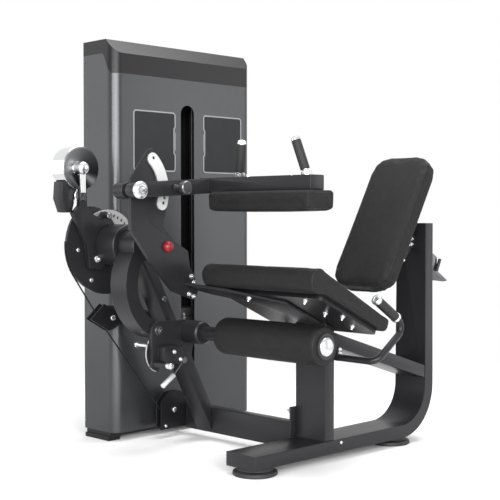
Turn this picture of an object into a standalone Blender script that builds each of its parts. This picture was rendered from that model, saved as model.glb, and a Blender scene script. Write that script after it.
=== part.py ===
"""Seated leg extension and leg curl machine with a covered weight stack.

Metres, +Z up. Sizes below are written in the maker's layout: X runs from the tower's
front sheet towards the seat, Y from the user's feet to the backrest, Z up from the floor.
The finished machine is then moved so that its origin is the bottom centre of its box.
"""

import math

import bmesh
import bpy
from mathutils import Matrix
from mathutils import Vector

# Clearances
GAP = 0.0003
RUNNING = 0.0005

# Weight tower
TOWER_WIDTH = 0.7655
TOWER_DEPTH = 0.198
TOWER_TOP = 1.606
TOWER_CORNER = 0.043
SHEET = 0.004
BACK_THICK = 0.0197
FOOT_BAR_HIGH = 0.0174
FOOT_BAR_LONG = 0.058
FOOT_BAR_PROUD = 0.004
BASE_PLATE = 0.016
CAP_TALL = 0.136
CAP_SLOPE = 0.056
CAP_SIDE = 0.054
CAP_SETBACK = 0.050
CAP_WALL = 0.012
CAP_SWOOP_NEAR = 0.020
CAP_SWOOP_FAR = 0.075
SLOT_CENTRE = 0.389
SLOT_WIDE = 0.075
SLOT_LOW = 0.250
SLOT_BELOW_TOP = 0.241
TOP_BEAM_BELOW_TOP = 0.166
TOP_BEAM_OFF_BACK = 0.026
TOP_BEAM_THICK = 0.026

# Weight stack
STACK_OFF_BACK = 0.108
STACK_LONG = 0.260
STACK_DEEP = 0.120
STACK_LOW = 0.175
PLATE = 0.025
PLATE_GROOVE = 0.003
RESTING_PLATES = 8
LIFTED_PLATES = 4
HEAD_HIGH = 0.035
ROD_RADIUS = 0.0125
ROD_SPACING = 0.208
STEM_RADIUS = 0.012
PIN_RADIUS = 0.005
PIN_KNOB = 0.014

# Knee axis, cam and lever
AXIS_Y = -0.085
AXIS_Z = 0.791
SHAFT_RADIUS = 0.020
CAM_X = 0.061
CAM_THICK = 0.012
CAM_RADIUS = 0.190
CAM_HEEL = 0.095
SELECTOR_THICK = 0.006
SELECTOR_RADIUS = 0.136
SELECTOR_HOLES = 0.115
ARM_THICK = 0.020
BOSS_RADIUS = 0.080
LEVER_LEFT = 0.2065
LEVER_RIGHT = 0.300
LEVER_ARC_Y = 0.042
LEVER_ARC_Z = 0.648
LEVER_ARC = 0.1925
LEVER_THICK = 0.055
LEVER_HUB = 0.060
DRUM_RADIUS = 0.082
DRUM_LEFT = 0.017
DRUM_Y = -0.227
DRUM_Z = 1.082
START_PIN = 0.006

# Roller
ROLLER_Y = 0.108
ROLLER_Z = 0.461
ROLLER_RADIUS = 0.071
ROLLER_LEFT = 0.523
ROLLER_RIGHT = 1.020
ROLLER_BORE = 0.0125
ROLLER_HOUSING = 0.044
ROLLER_HOUSING_END = 0.410
ROLLER_SLEEVE = 0.026
ROLLER_HEAD = 0.033
BRACKET_THICK = 0.018
CATCH_Y = 0.0765
CATCH_Z = 0.354
PLUNGER_Y = -0.056
PLUNGER_Z = 0.350
PLUNGER = 0.011

# Cable and pulleys
CABLE = 0.003
GROOVE_DEPTH = 0.0045
PULLEY = 0.048
PULLEY_SMALL = 0.030
PULLEY_HALF = 0.009
AXLE = 0.006
LOW_PULLEY_Y = -0.070
LOW_PULLEY_Z = 0.508
BASE_PULLEY_Y = 0.243
BASE_PULLEY_Z = 0.112
TURN_PULLEY_Y = 0.325
UP_RUN_OFF_BACK = 0.033
TOP_PULLEY_BELOW_TOP = 0.236

# Floor frame
TUBE_WIDE = 0.150
TUBE_THICK = 0.050
TUBE_EDGE = 0.006
SEAT_CENTRE = 0.772
RUNNER_FRONT = -0.054
RUNNER_LOW = 0.0314
RUNNER_BEND = 0.195
UPRIGHT_FRONT = 0.909
UPRIGHT_TOP = 0.874
SEAT_POST_FRONT = 0.304
FOOT_RADIUS = 0.080
FRONT_FOOT_Y = 0.017
REAR_FOOT_Y = 0.775
BEAM_LEFT = 0.0788
BEAM_LOW = 0.030
BEAM_HIGH = 0.102
FLANGE = 0.008
FLANGE_RISE = 0.062
POST_LEFT = 0.150
POST_RIGHT = 0.240
POST_DEEP = 0.048
POST_LEAN = math.radians(27.35)
POST_BEHIND = 0.0274
INCLINE_START = 0.478
INCLINE_FALL = math.radians(17.35)

# Thigh hold-down
THIGH_Y = -0.256
THIGH_Z = 0.993
THIGH_PIN = 0.0125
BARREL_RADIUS = 0.029
BARREL_LEFT = 0.358
PLATE_LEFT = 0.406
PLATE_RIGHT = 0.418
PLATE_LAYER = 0.006
SECTOR_RADIUS = 0.155
SECTOR_HALF = 0.023
SECTOR_HOLES = 0.160
SECTOR_LOW = -17.5
SECTOR_HIGH = 47.3
SECTOR_STOPS = (-15.9, -8.5, 47.6)
CRANK_WIDE = 0.050
CRANK_HIGH = 0.055
BEAM_Y = 0.068
BEAM_DEEP = 0.070
BEAM_Z = 0.9905
BEAM_TALL = 0.053
BEAM_END = 0.985
PAD_WIDE = 0.500
PAD_DEEP = 0.140
PAD_THICK = 0.072
PAD_FORWARD = 0.0165
PAD_CORNER = 0.014
PAD_EDGE = 0.013
HANDLE_OUT = 0.165
HANDLE_LEAN_IN = 0.032
HANDLE_LEAN_FORWARD = 0.021
HANDLE_HIGH = 0.118
GRIP_RADIUS = 0.017
STEM = 0.011

# Seat and backrest
SEAT_WIDE = 0.554
SEAT_LONG = 0.457
SEAT_NOSE = 0.044
SEAT_NOSE_LIFT = 0.030
SEAT_TAIL = 0.0495
SEAT_TAIL_ROUND = 0.015
SEAT_TAIL_REACH = 0.222
SEAT_EDGE = 0.009
SEAT_FALL = math.radians(24.9)
SEAT_BACK_Y = 0.2107
SEAT_BACK_Z = 0.5791
SEAT_BOARD = 0.0155
SEAT_FRAME_TALL = 0.010
BOARD = 0.018
BACK_WIDE = 0.290
BACK_LONG = 0.598
BACK_THICKNESS = 0.065
BACK_CORNER = 0.080
BACK_EDGE = 0.012
BACK_LEAN = math.radians(59.6)
BACK_FACE_Y = 0.7053
BACK_FACE_Z = 0.8927
BACK_TUBE = 0.050
BACK_TUBE_Z = 0.800
BACK_TUBE_END = 1.010
HANDLE_X = 0.258
HANDLE_TUBE = 0.0125
HANDLE_GRIP = 0.017
BACK_LEVER_Y = 0.982
BACK_LEVER_Z = 0.720

# Colours and finishes: base colour, roughness, metallic
FINISHES = {
    "grey_paint": ((0.115, 0.118, 0.122), 0.42, 0.35),
    "black_paint": ((0.022, 0.022, 0.024), 0.40, 0.20),
    "frame_paint": ((0.055, 0.056, 0.060), 0.42, 0.30),
    "upholstery": ((0.018, 0.018, 0.019), 0.62, 0.0),
    "rubber": ((0.016, 0.016, 0.017), 0.75, 0.0),
    "chrome": ((0.78, 0.79, 0.80), 0.12, 1.0),
    "steel": ((0.52, 0.53, 0.54), 0.34, 1.0),
    "iron": ((0.035, 0.035, 0.038), 0.55, 0.3),
    "red_plastic": ((0.42, 0.02, 0.035), 0.28, 0.0),
    "nylon": ((0.03, 0.03, 0.032), 0.45, 0.0),
}


def clear_scene():
    for obj in list(bpy.data.objects):
        bpy.data.objects.remove(obj, do_unlink=True)


def finish_material(name):
    """The Principled material of one finish, made once."""
    if name in bpy.data.materials:
        return bpy.data.materials[name]
    colour, roughness, metallic = FINISHES[name]
    material = bpy.data.materials.new(name)
    material.use_nodes = True
    shader = material.node_tree.nodes["Principled BSDF"]
    shader.inputs["Base Color"].default_value = (*colour, 1.0)
    shader.inputs["Roughness"].default_value = roughness
    shader.inputs["Metallic"].default_value = metallic
    return material


# Bodies: an empty on each joint's axis carries the pieces that move with it
PIVOTS = {}


def body(name, place, parent=None):
    """An empty at a joint, placed in layout coordinates and parented to the body that carries it."""
    empty = bpy.data.objects.new(name, None)
    bpy.context.scene.collection.objects.link(empty)
    place = Vector(place)
    PIVOTS[name] = (empty, place)
    if parent:
        holder, origin = PIVOTS[parent]
        empty.parent = holder
        empty.location = place - origin
    else:
        empty.location = place


def mesh_object(name, shape, carrier, finish, helper=False):
    """One object from a bmesh drawn in layout coordinates, with its origin on its body's joint."""
    empty, origin = PIVOTS[carrier]
    bmesh.ops.translate(shape, vec=-origin, verts=shape.verts)
    bmesh.ops.recalc_face_normals(shape, faces=shape.faces)
    mesh = bpy.data.meshes.new(name)
    shape.to_mesh(mesh)
    shape.free()
    mesh.shade_smooth()
    mesh.set_sharp_from_angle(angle=math.radians(35))
    obj = bpy.data.objects.new(name, mesh)
    bpy.context.scene.collection.objects.link(obj)
    obj.parent = empty
    if helper:
        obj.hide_render = True
        obj.display_type = "WIRE"
    else:
        mesh.materials.append(finish_material(finish))
    return obj


def piece(name, carrier, finish, shape, joined=(), cut=()):
    """A named sub-part: a shape, others joined to it and others cut from it."""
    obj = mesh_object(name, shape, carrier, finish)
    for operation, others in (("UNION", joined), ("DIFFERENCE", cut)):
        for number, other in enumerate(others, 1):
            label = f"{name}_{operation.lower()}_{number}"
            tool = mesh_object(label, other, carrier, finish, helper=True)
            modifier = obj.modifiers.new(label, "BOOLEAN")
            modifier.operation = operation
            modifier.object = tool
            modifier.solver = "EXACT"
    return obj


# Shapes
def frame_of(axis):
    """Two directions square to an axis, in a fixed order."""
    axis = Vector(axis).normalized()
    helper = Vector((0, 0, 1)) if abs(axis.z) < 0.9 else Vector((0, 1, 0))
    side = helper.cross(axis).normalized()
    return axis, side, axis.cross(side)


def loft(rings, wrap=False):
    """A closed surface through rings of points; the ends are capped unless the rings wrap round."""
    shape = bmesh.new()
    loops = [[shape.verts.new(point) for point in ring] for ring in rings]
    count = len(loops[0])
    pairs = list(zip(loops, loops[1:]))
    if wrap:
        pairs.append((loops[-1], loops[0]))
    for low, high in pairs:
        for i in range(count):
            j = (i + 1) % count
            shape.faces.new((low[i], low[j], high[j], high[i]))
    if not wrap:
        shape.faces.new(loops[0])
        shape.faces.new(loops[-1])
    return shape


def turned(profile, start, axis, sides=24, bored=False):
    """A turned piece: (radius, distance along the axis) pairs; a bored profile is a closed loop."""
    axis, side, other = frame_of(axis)
    start = Vector(start)
    angles = [2 * math.pi * i / sides for i in range(sides)]
    rings = []
    for radius, along in profile:
        centre = start + axis * along
        rings.append([centre + (side * math.cos(a) + other * math.sin(a)) * radius for a in angles])
    return loft(rings, wrap=bored)


def cylinder(start, axis, radius, length, sides=24, edge=0.0):
    if edge:
        profile = [(radius - edge, 0), (radius, edge), (radius, length - edge), (radius - edge, length)]
    else:
        profile = [(radius, 0), (radius, length)]
    return turned(profile, start, axis, sides)


def bore_for(radius, sides, clearance=GAP):
    """The corner radius of a many-sided bore whose flats clear a round piece."""
    return (radius + clearance) / math.cos(math.pi / sides)


def prism(outline, low, high, along="x", edge=0.0):
    """An outline drawn square to one axis and extruded along it, with its rim rounded by edge."""
    order = {"x": lambda a, p, q: (a, p, q), "y": lambda a, p, q: (p, a, q), "z": lambda a, p, q: (p, q, a)}
    place = order[along]
    shape = loft([[place(level, p, q) for p, q in outline] for level in (low, high)])
    if edge:
        shape.faces.ensure_lookup_table()
        rims = [rim for cap in shape.faces[-2:] for rim in cap.edges]
        bmesh.ops.bevel(shape, geom=rims, offset=edge, segments=2, affect="EDGES", profile=0.5)
    return shape


def box(x, y, z, edge=0.0):
    """A block between pairs of limits, with all its edges rounded by edge."""
    outline = [(y[0], z[0]), (y[1], z[0]), (y[1], z[1]), (y[0], z[1])]
    shape = prism(outline, x[0], x[1])
    if edge:
        bmesh.ops.bevel(shape, geom=list(shape.edges), offset=edge, segments=2, affect="EDGES", profile=0.5)
    return shape


def arc(centre, radius, start, end, steps):
    """Points along a circle, angles in degrees, both ends included."""
    turns = [math.radians(start + (end - start) * i / steps) for i in range(steps + 1)]
    return [(centre[0] + radius * math.cos(t), centre[1] + radius * math.sin(t)) for t in turns]


def link(start, end, half, steps=10):
    """A bar's outline, round at its start and square at its end."""
    heading = math.degrees(math.atan2(end[1] - start[1], end[0] - start[0]))
    nose = arc(start, half, heading + 90, heading + 270, steps)
    side = (math.cos(math.radians(heading - 90)) * half, math.sin(math.radians(heading - 90)) * half)
    return nose + [(end[0] + side[0], end[1] + side[1]), (end[0] - side[0], end[1] - side[1])]


def rounded(width, depth, radius, steps=5):
    """A rectangle about the origin with round corners."""
    a = width / 2 - radius
    b = depth / 2 - radius
    corners = ((a, b, 0), (-a, b, 90), (-a, -b, 180), (a, -b, 270))
    return [p for x, y, turn in corners for p in arc((x, y), radius, turn, turn + 90, steps)]


def pipe(points, radius, sides=12):
    """A round tube along points, square to its run at each of them."""
    points = [Vector(p) for p in points]
    rings = []
    reference = None
    for i, point in enumerate(points):
        ahead = points[min(i + 1, len(points) - 1)] - points[max(i - 1, 0)]
        axis = ahead.normalized()
        if reference is None:
            reference = frame_of(axis)[1]
        side = (reference - axis * reference.dot(axis)).normalized()
        reference = side
        other = axis.cross(side)
        turns = [2 * math.pi * k / sides for k in range(sides)]
        rings.append([point + (side * math.cos(t) + other * math.sin(t)) * radius for t in turns])
    return loft(rings)


def bent(points, radius, steps=5):
    """The points of a route whose corners are rounded to one bend radius."""
    points = [Vector(p) for p in points]
    route = [points[0]]
    for before, corner, after in zip(points, points[1:], points[2:]):
        into = (corner - before).normalized()
        out = (after - corner).normalized()
        half = into.angle(out) / 2
        if half < 0.01:
            route.append(corner)
            continue
        reach = radius * math.tan(half)
        inward = (out - into).normalized()
        centre = corner + inward * (radius / math.cos(half))
        first = corner - into * reach - centre
        normal = into.cross(out).normalized()
        for k in range(steps + 1):
            route.append(centre + Matrix.Rotation(2 * half * k / steps, 3, normal) @ first)
    route.append(points[-1])
    return route


def cushion(width, depth, thick, crown, corner, draw, edge):
    """A padded block: flat back at z 0, sides drawn in between its corners, crowned face, round rims."""
    outline = rounded(width, depth, corner, steps=3)
    filled = []
    for (x, y), (x2, y2) in zip(outline, outline[1:] + outline[:1]):
        filled.append((x, y))
        if math.hypot(x2 - x, y2 - y) > corner * 1.5:
            for k in range(1, 6):
                filled.append((x + (x2 - x) * k / 6, y + (y2 - y) * k / 6))
    half_x = width / 2
    half_y = depth / 2

    def drawn(x, y):
        pull_x = draw * math.cos(min(abs(y) / half_y, 1) * math.pi / 2)
        pull_y = draw * math.cos(min(abs(x) / half_x, 1) * math.pi / 2)
        far_x = abs(x) > half_x - corner * 0.3
        far_y = abs(y) > half_y - corner * 0.3
        x -= math.copysign(pull_x, x) if far_x else 0
        y -= math.copysign(pull_y, y) if far_y else 0
        return x, y

    layers = [(edge * 0.4, 0.0), (0.0, edge * 0.5), (0.0, thick - edge)]
    for turn in (30, 60, 90):
        inset = edge * (1 - math.cos(math.radians(turn)))
        layers.append((inset, thick - edge + edge * math.sin(math.radians(turn))))
    rings = []
    for inset, height in layers:
        scale_x = (half_x - inset) / half_x
        scale_y = (half_y - inset) / half_y
        rings.append([Vector((*drawn(x * scale_x, y * scale_y), height)) for x, y in filled])
    rim = rings[-1]
    for share in (0.66, 0.33):
        lift = crown * (1 - share**2)
        rings.append([Vector((p.x * share, p.y * share, thick + lift)) for p in rim])
    return loft(rings)


def inset_outline(outline, inset):
    """An outline drawn anticlockwise, moved inwards by the same distance all round."""
    count = len(outline)
    moved = []
    for i, (x, y) in enumerate(outline):
        before = outline[i - 1]
        after = outline[(i + 1) % count]
        run = Vector((after[0] - before[0], after[1] - before[1])).normalized()
        moved.append((x - run.y * inset, y + run.x * inset))
    return moved


def bolster(outline, low, high, edge):
    """A padded piece of one outline all along x, with its two end rims rounded."""
    rings = []
    for end, inward in ((low, 1), (high, -1)):
        turns = (0, 30, 60, 90) if inward > 0 else (90, 60, 30, 0)
        for turn in turns:
            angle = math.radians(turn)
            level = end + inward * edge * (1 - math.sin(angle))
            inset = inset_outline(outline, edge * (1 - math.cos(angle)) if turn < 90 else edge)
            rings.append([(level, p, q) for p, q in inset])
    rings = sorted(rings, key=lambda ring: ring[0][0])
    return loft(rings)


def placed(shape, matrix):
    bmesh.ops.transform(shape, matrix=matrix, verts=shape.verts)
    return shape


def gathered(shapes):
    """Several separate shapes in one bmesh, as one cutter."""
    whole = bmesh.new()
    for shape in shapes:
        mesh = bpy.data.meshes.new("gather")
        bmesh.ops.recalc_face_normals(shape, faces=shape.faces)
        shape.to_mesh(mesh)
        shape.free()
        whole.from_mesh(mesh)
        bpy.data.meshes.remove(mesh)
    return whole


# Values worked out from the sizes above
CAP_FRONT_LOW = TOWER_TOP - CAP_TALL
CAP_BREAK = TOWER_TOP - CAP_SLOPE
CAP_SIDE_LOW = TOWER_TOP - CAP_SIDE
SLOT_TOP = TOWER_TOP - SLOT_BELOW_TOP
TOP_BEAM_LOW = TOWER_TOP - TOP_BEAM_BELOW_TOP
TOP_PULLEY_Z = TOWER_TOP - TOP_PULLEY_BELOW_TOP
BASE_TOP = FOOT_BAR_HIGH + BASE_PLATE
STACK_X = STACK_OFF_BACK - TOWER_DEPTH
UP_RUN_X = UP_RUN_OFF_BACK - TOWER_DEPTH
STACK_MID = STACK_LOW + RESTING_PLATES * PLATE + GAP
STACK_HEAD = STACK_MID + LIFTED_PLATES * PLATE + GAP
PIN_Z = STACK_MID + PLATE / 2
CAM_LEFT = CAM_X - CAM_THICK / 2
CAM_RIGHT = CAM_X + CAM_THICK / 2
SELECTOR_LEFT = CAM_RIGHT + GAP
SELECTOR_RIGHT = SELECTOR_LEFT + SELECTOR_THICK
ARM_LEFT = SELECTOR_RIGHT + 0.003
ARM_RIGHT = ARM_LEFT + ARM_THICK
DRUM_RIGHT = ARM_RIGHT
BOSS_LEFT = ARM_RIGHT + 0.002
BOSS_RIGHT = LEVER_LEFT - 0.001
GROOVE = PULLEY - GROOVE_DEPTH
GROOVE_SMALL = PULLEY_SMALL - GROOVE_DEPTH
FRAME_LEFT = SEAT_CENTRE - TUBE_WIDE / 2
FRAME_RIGHT = SEAT_CENTRE + TUBE_WIDE / 2
RUNNER_TOP = RUNNER_LOW + TUBE_THICK
SEAT_POST_REAR = SEAT_POST_FRONT + TUBE_THICK
BEAM_TOP = BEAM_LOW + BEAM_HIGH
UPRIGHT_REAR = UPRIGHT_FRONT + TUBE_THICK
POST_SLOPE = math.tan(POST_LEAN)
POST_ACROSS = POST_DEEP / math.cos(POST_LEAN)
CRANK_LEFT = PLATE_RIGHT + PLATE_LAYER + 0.0025
CRANK_RIGHT = CRANK_LEFT + CRANK_WIDE
LEVER_END = (LEVER_ARC_Y + LEVER_ARC * math.cos(math.radians(245)),
             LEVER_ARC_Z + LEVER_ARC * math.sin(math.radians(245)))
TURN_X = CAM_X - GROOVE_SMALL
CABLE_LOW = BASE_PULLEY_Z - GROOVE
CABLE_IN_Y = TURN_PULLEY_Y + GROOVE_SMALL
INNER_X = UP_RUN_X + GROOVE
INNER_Z = CABLE_LOW + GROOVE
TOP_RUN = Vector((STACK_X - UP_RUN_X, SLOT_CENTRE - CABLE_IN_Y, 0))
TOP_CENTRE = Vector((UP_RUN_X, CABLE_IN_Y, TOP_PULLEY_Z)) + TOP_RUN / 2
TOP_GROOVE = TOP_RUN.length / 2
TOP_AXIS = Vector((TOP_RUN.y, -TOP_RUN.x, 0)).normalized()
START_ANGLE = math.radians(105)
START_Y = AXIS_Y + SELECTOR_HOLES * math.cos(START_ANGLE)
START_Z = AXIS_Z + SELECTOR_HOLES * math.sin(START_ANGLE)
CRANK_LIFT = math.atan2(BEAM_Z + BEAM_TALL / 2 - THIGH_Z, BEAM_Y + BEAM_DEEP / 2 - THIGH_Y)
THIGH_PIN_Y = THIGH_Y + SECTOR_HOLES * math.cos(CRANK_LIFT)
THIGH_PIN_Z = THIGH_Z + SECTOR_HOLES * math.sin(CRANK_LIFT)


def make_bodies():
    body("machine", (0, 0, 0))
    body("weight_carriage", (STACK_X, SLOT_CENTRE, STACK_MID), "machine")
    body("stack_pin", (STACK_X, SLOT_CENTRE, PIN_Z), "weight_carriage")
    body("cam", (CAM_X, AXIS_Y, AXIS_Z), "machine")
    body("lever", (LEVER_LEFT, AXIS_Y, AXIS_Z), "cam")
    body("start_stop", (ARM_RIGHT, START_Y, START_Z), "lever")
    body("roller_swing", (LEVER_RIGHT, *LEVER_END), "lever")
    body("roller", (ROLLER_LEFT, ROLLER_Y, ROLLER_Z), "roller_swing")
    body("roller_catch", (LEVER_RIGHT + BRACKET_THICK, CATCH_Y, CATCH_Z), "roller_swing")
    body("thigh_hold", (CRANK_LEFT, THIGH_Y, THIGH_Z), "machine")
    body("thigh_stop", (CRANK_RIGHT, THIGH_PIN_Y, THIGH_PIN_Z), "thigh_hold")
    body("backrest", (SEAT_CENTRE, UPRIGHT_FRONT, BACK_TUBE_Z), "machine")
    body("back_release", (SEAT_CENTRE, BACK_LEVER_Y, BACK_LEVER_Z), "machine")
    body("low_pulley", (CAM_X, LOW_PULLEY_Y, LOW_PULLEY_Z), "machine")
    body("base_pulley", (CAM_X, BASE_PULLEY_Y, BASE_PULLEY_Z), "machine")
    body("turn_pulley", (TURN_X, TURN_PULLEY_Y, CABLE_LOW), "machine")
    body("inner_pulley", (INNER_X, CABLE_IN_Y, INNER_Z), "machine")
    body("top_pulley", TOP_CENTRE, "machine")


def tower_outline(inset=0.0):
    """The tower's plan: square at the back, round at its two front corners."""
    radius = TOWER_CORNER - inset
    near = arc((-TOWER_CORNER, TOWER_CORNER), radius, 270, 360, 8)
    far = arc((-TOWER_CORNER, TOWER_WIDTH - TOWER_CORNER), radius, 0, 90, 8)
    return near + far


def cap_swoop(lift):
    """The cap's lower edge seen from the side, high at the back and swept down to the front."""
    points = []
    for k in range(9):
        share = k / 8
        rise = 0.5 - 0.5 * math.cos(math.pi * share)
        x = -CAP_SWOOP_NEAR - (CAP_SWOOP_FAR - CAP_SWOOP_NEAR) * share
        points.append((x, CAP_FRONT_LOW + (CAP_SIDE_LOW - CAP_FRONT_LOW) * rise + lift))
    return points


def make_tower():
    near_foot = (-FOOT_BAR_PROUD, FOOT_BAR_LONG - FOOT_BAR_PROUD)
    far_foot = (TOWER_WIDTH - near_foot[1], TOWER_WIDTH - near_foot[0])
    base = [(near_foot[0], 0), (near_foot[1], 0), (near_foot[1], FOOT_BAR_HIGH),
            (far_foot[0], FOOT_BAR_HIGH), (far_foot[0], 0), (far_foot[1], 0),
            (far_foot[1], FOOT_BAR_HIGH), (TOWER_WIDTH - SHEET, FOOT_BAR_HIGH),
            (TOWER_WIDTH - SHEET, BASE_TOP), (SHEET, BASE_TOP), (SHEET, FOOT_BAR_HIGH),
            (near_foot[0], FOOT_BAR_HIGH)]
    stand_x = (STACK_X - STACK_DEEP / 2, STACK_X + STACK_DEEP / 2)
    stand_y = STACK_LONG / 2
    stands = [box(stand_x, (SLOT_CENTRE + side * stand_y - 0.012, SLOT_CENTRE + side * stand_y + 0.012),
                  (BASE_TOP - 0.004, STACK_LOW - GAP)) for side in (-1, 1)]
    cheek_low = CABLE_IN_Y + PULLEY_HALF + 0.002
    cheek = box((INNER_X - 0.010, INNER_X + 0.010), (cheek_low, cheek_low + 0.010),
                (BASE_TOP - 0.004, INNER_Z + 0.012))
    axle = cylinder((INNER_X, CABLE_IN_Y - PULLEY_HALF, INNER_Z), (0, 1, 0), AXLE,
                    2 * PULLEY_HALF + 0.006, sides=12)
    piece("tower_base", "machine", "black_paint", prism(base, -TOWER_DEPTH + 0.008, -0.036),
          joined=stands + [cheek, axle])

    back_face = -TOWER_DEPTH + BACK_THICK
    outer = [(back_face + GAP, 0)] + tower_outline() + [(back_face + GAP, TOWER_WIDTH)]
    inner = [(back_face + GAP, SHEET)] + tower_outline(SHEET) + [(back_face + GAP, TOWER_WIDTH - SHEET)]
    slot_half = SLOT_WIDE / 2
    slot = arc((SLOT_CENTRE, SLOT_TOP - slot_half), slot_half, 0, 180, 10)
    slot += arc((SLOT_CENTRE, SLOT_LOW + slot_half), slot_half, 180, 360, 10)
    above = cap_swoop(-GAP)
    trim = above + [(back_face - 0.01, CAP_SIDE_LOW + 0.05 - GAP), (0.01, CAP_SIDE_LOW + 0.05),
                    (0.01, CAP_FRONT_LOW - GAP)]
    trim.insert(len(above), (back_face - 0.01, CAP_SIDE_LOW - GAP))
    sheet = prism(outer + inner[::-1], BASE_TOP + GAP, CAP_SIDE_LOW + 0.01, along="z")
    cable_hole = cylinder((-0.02, CABLE_IN_Y, CABLE_LOW), (1, 0, 0), 0.010, 0.04, sides=12)
    piece("tower_shroud", "machine", "grey_paint", sheet,
          cut=[prism(slot, -0.02, 0.02), prism(trim, -0.05, TOWER_WIDTH + 0.05, along="y"), cable_hole])

    piece("tower_back", "machine", "grey_paint",
          box((-TOWER_DEPTH, back_face), (0, TOWER_WIDTH), (BASE_TOP + GAP, CAP_SIDE_LOW - GAP)))

    side = cap_swoop(0) + [(-TOWER_DEPTH, CAP_SIDE_LOW), (-TOWER_DEPTH, TOWER_TOP),
                           (-CAP_SETBACK, TOWER_TOP), (0, CAP_BREAK), (0, CAP_FRONT_LOW)]
    plan = [(-TOWER_DEPTH - 0.01, 0)] + tower_outline() + [(-TOWER_DEPTH - 0.01, TOWER_WIDTH)]
    outside = [(0.05, -0.05), (0.05, TOWER_WIDTH + 0.05), (-TOWER_DEPTH - 0.05, TOWER_WIDTH + 0.05)]
    outside = outside + [(-TOWER_DEPTH - 0.05, TOWER_WIDTH)] + plan[::-1]
    outside = outside + [(-TOWER_DEPTH - 0.05, 0), (-TOWER_DEPTH - 0.05, -0.05)]
    hollow = box((-TOWER_DEPTH + CAP_WALL, -CAP_SETBACK - CAP_WALL), (CAP_WALL, TOWER_WIDTH - CAP_WALL),
                 (CAP_FRONT_LOW - 0.05, TOWER_TOP - CAP_WALL))
    piece("tower_cap", "machine", "black_paint", prism(side, 0, TOWER_WIDTH, along="y"),
          cut=[prism(outside, CAP_FRONT_LOW - 0.05, TOWER_TOP + 0.05, along="z"), hollow])

    top_rise = TOP_BEAM_LOW + TOP_BEAM_THICK
    cheek_middle = TOP_CENTRE + TOP_AXIS * (PULLEY_HALF + 0.008)
    turn = Matrix.Rotation(math.atan2(TOP_AXIS.y, TOP_AXIS.x), 4, "Z")
    hanger = box((-0.005, 0.005), (-0.012, 0.012), (-0.012, TOP_BEAM_LOW + 0.004 - TOP_PULLEY_Z))
    hanger = placed(hanger, Matrix.Translation(cheek_middle) @ turn)
    top_axle = cylinder(TOP_CENTRE - TOP_AXIS * PULLEY_HALF, TOP_AXIS, AXLE, 2 * PULLEY_HALF + 0.005,
                        sides=12)
    piece("tower_top_beam", "machine", "black_paint",
          box((TOP_BEAM_OFF_BACK - TOWER_DEPTH, -TOWER_CORNER - 0.001),
              (SHEET + GAP, TOWER_WIDTH - SHEET - GAP), (TOP_BEAM_LOW, top_rise)),
          joined=[hanger, top_axle])

    for name, side in (("guide_rod_near", -1), ("guide_rod_far", 1)):
        place = (STACK_X, SLOT_CENTRE + side * ROD_SPACING / 2, BASE_TOP + GAP)
        piece(name, "machine", "chrome",
              cylinder(place, (0, 0, 1), ROD_RADIUS, TOP_BEAM_LOW - BASE_TOP - 2 * GAP, sides=16))


def weight_block(low, plates):
    """A pile of plates: its long faces are grooved where one plate ends and the next begins."""
    half = STACK_DEEP / 2
    right = []
    for k in range(plates):
        start = low + k * PLATE
        right.append((half - PLATE_GROOVE, start))
        right.append((half, start + PLATE_GROOVE))
        right.append((half, start + PLATE - PLATE_GROOVE))
    right.append((half - PLATE_GROOVE, low + plates * PLATE))
    outline = [(STACK_X + x, z) for x, z in right] + [(STACK_X - x, z) for x, z in right[::-1]]
    return prism(outline, SLOT_CENTRE - STACK_LONG / 2, SLOT_CENTRE + STACK_LONG / 2, along="y")


def stack_bores(low, high):
    """The bores for the two guide rods and for the selector stem."""
    tall = high - low
    rods = [cylinder((STACK_X, SLOT_CENTRE + side * ROD_SPACING / 2, low), (0, 0, 1),
                     ROD_RADIUS + RUNNING, tall, sides=16) for side in (-1, 1)]
    stem = cylinder((STACK_X, SLOT_CENTRE, low), (0, 0, 1), STEM_RADIUS + RUNNING, tall, sides=16)
    return rods, stem


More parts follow.
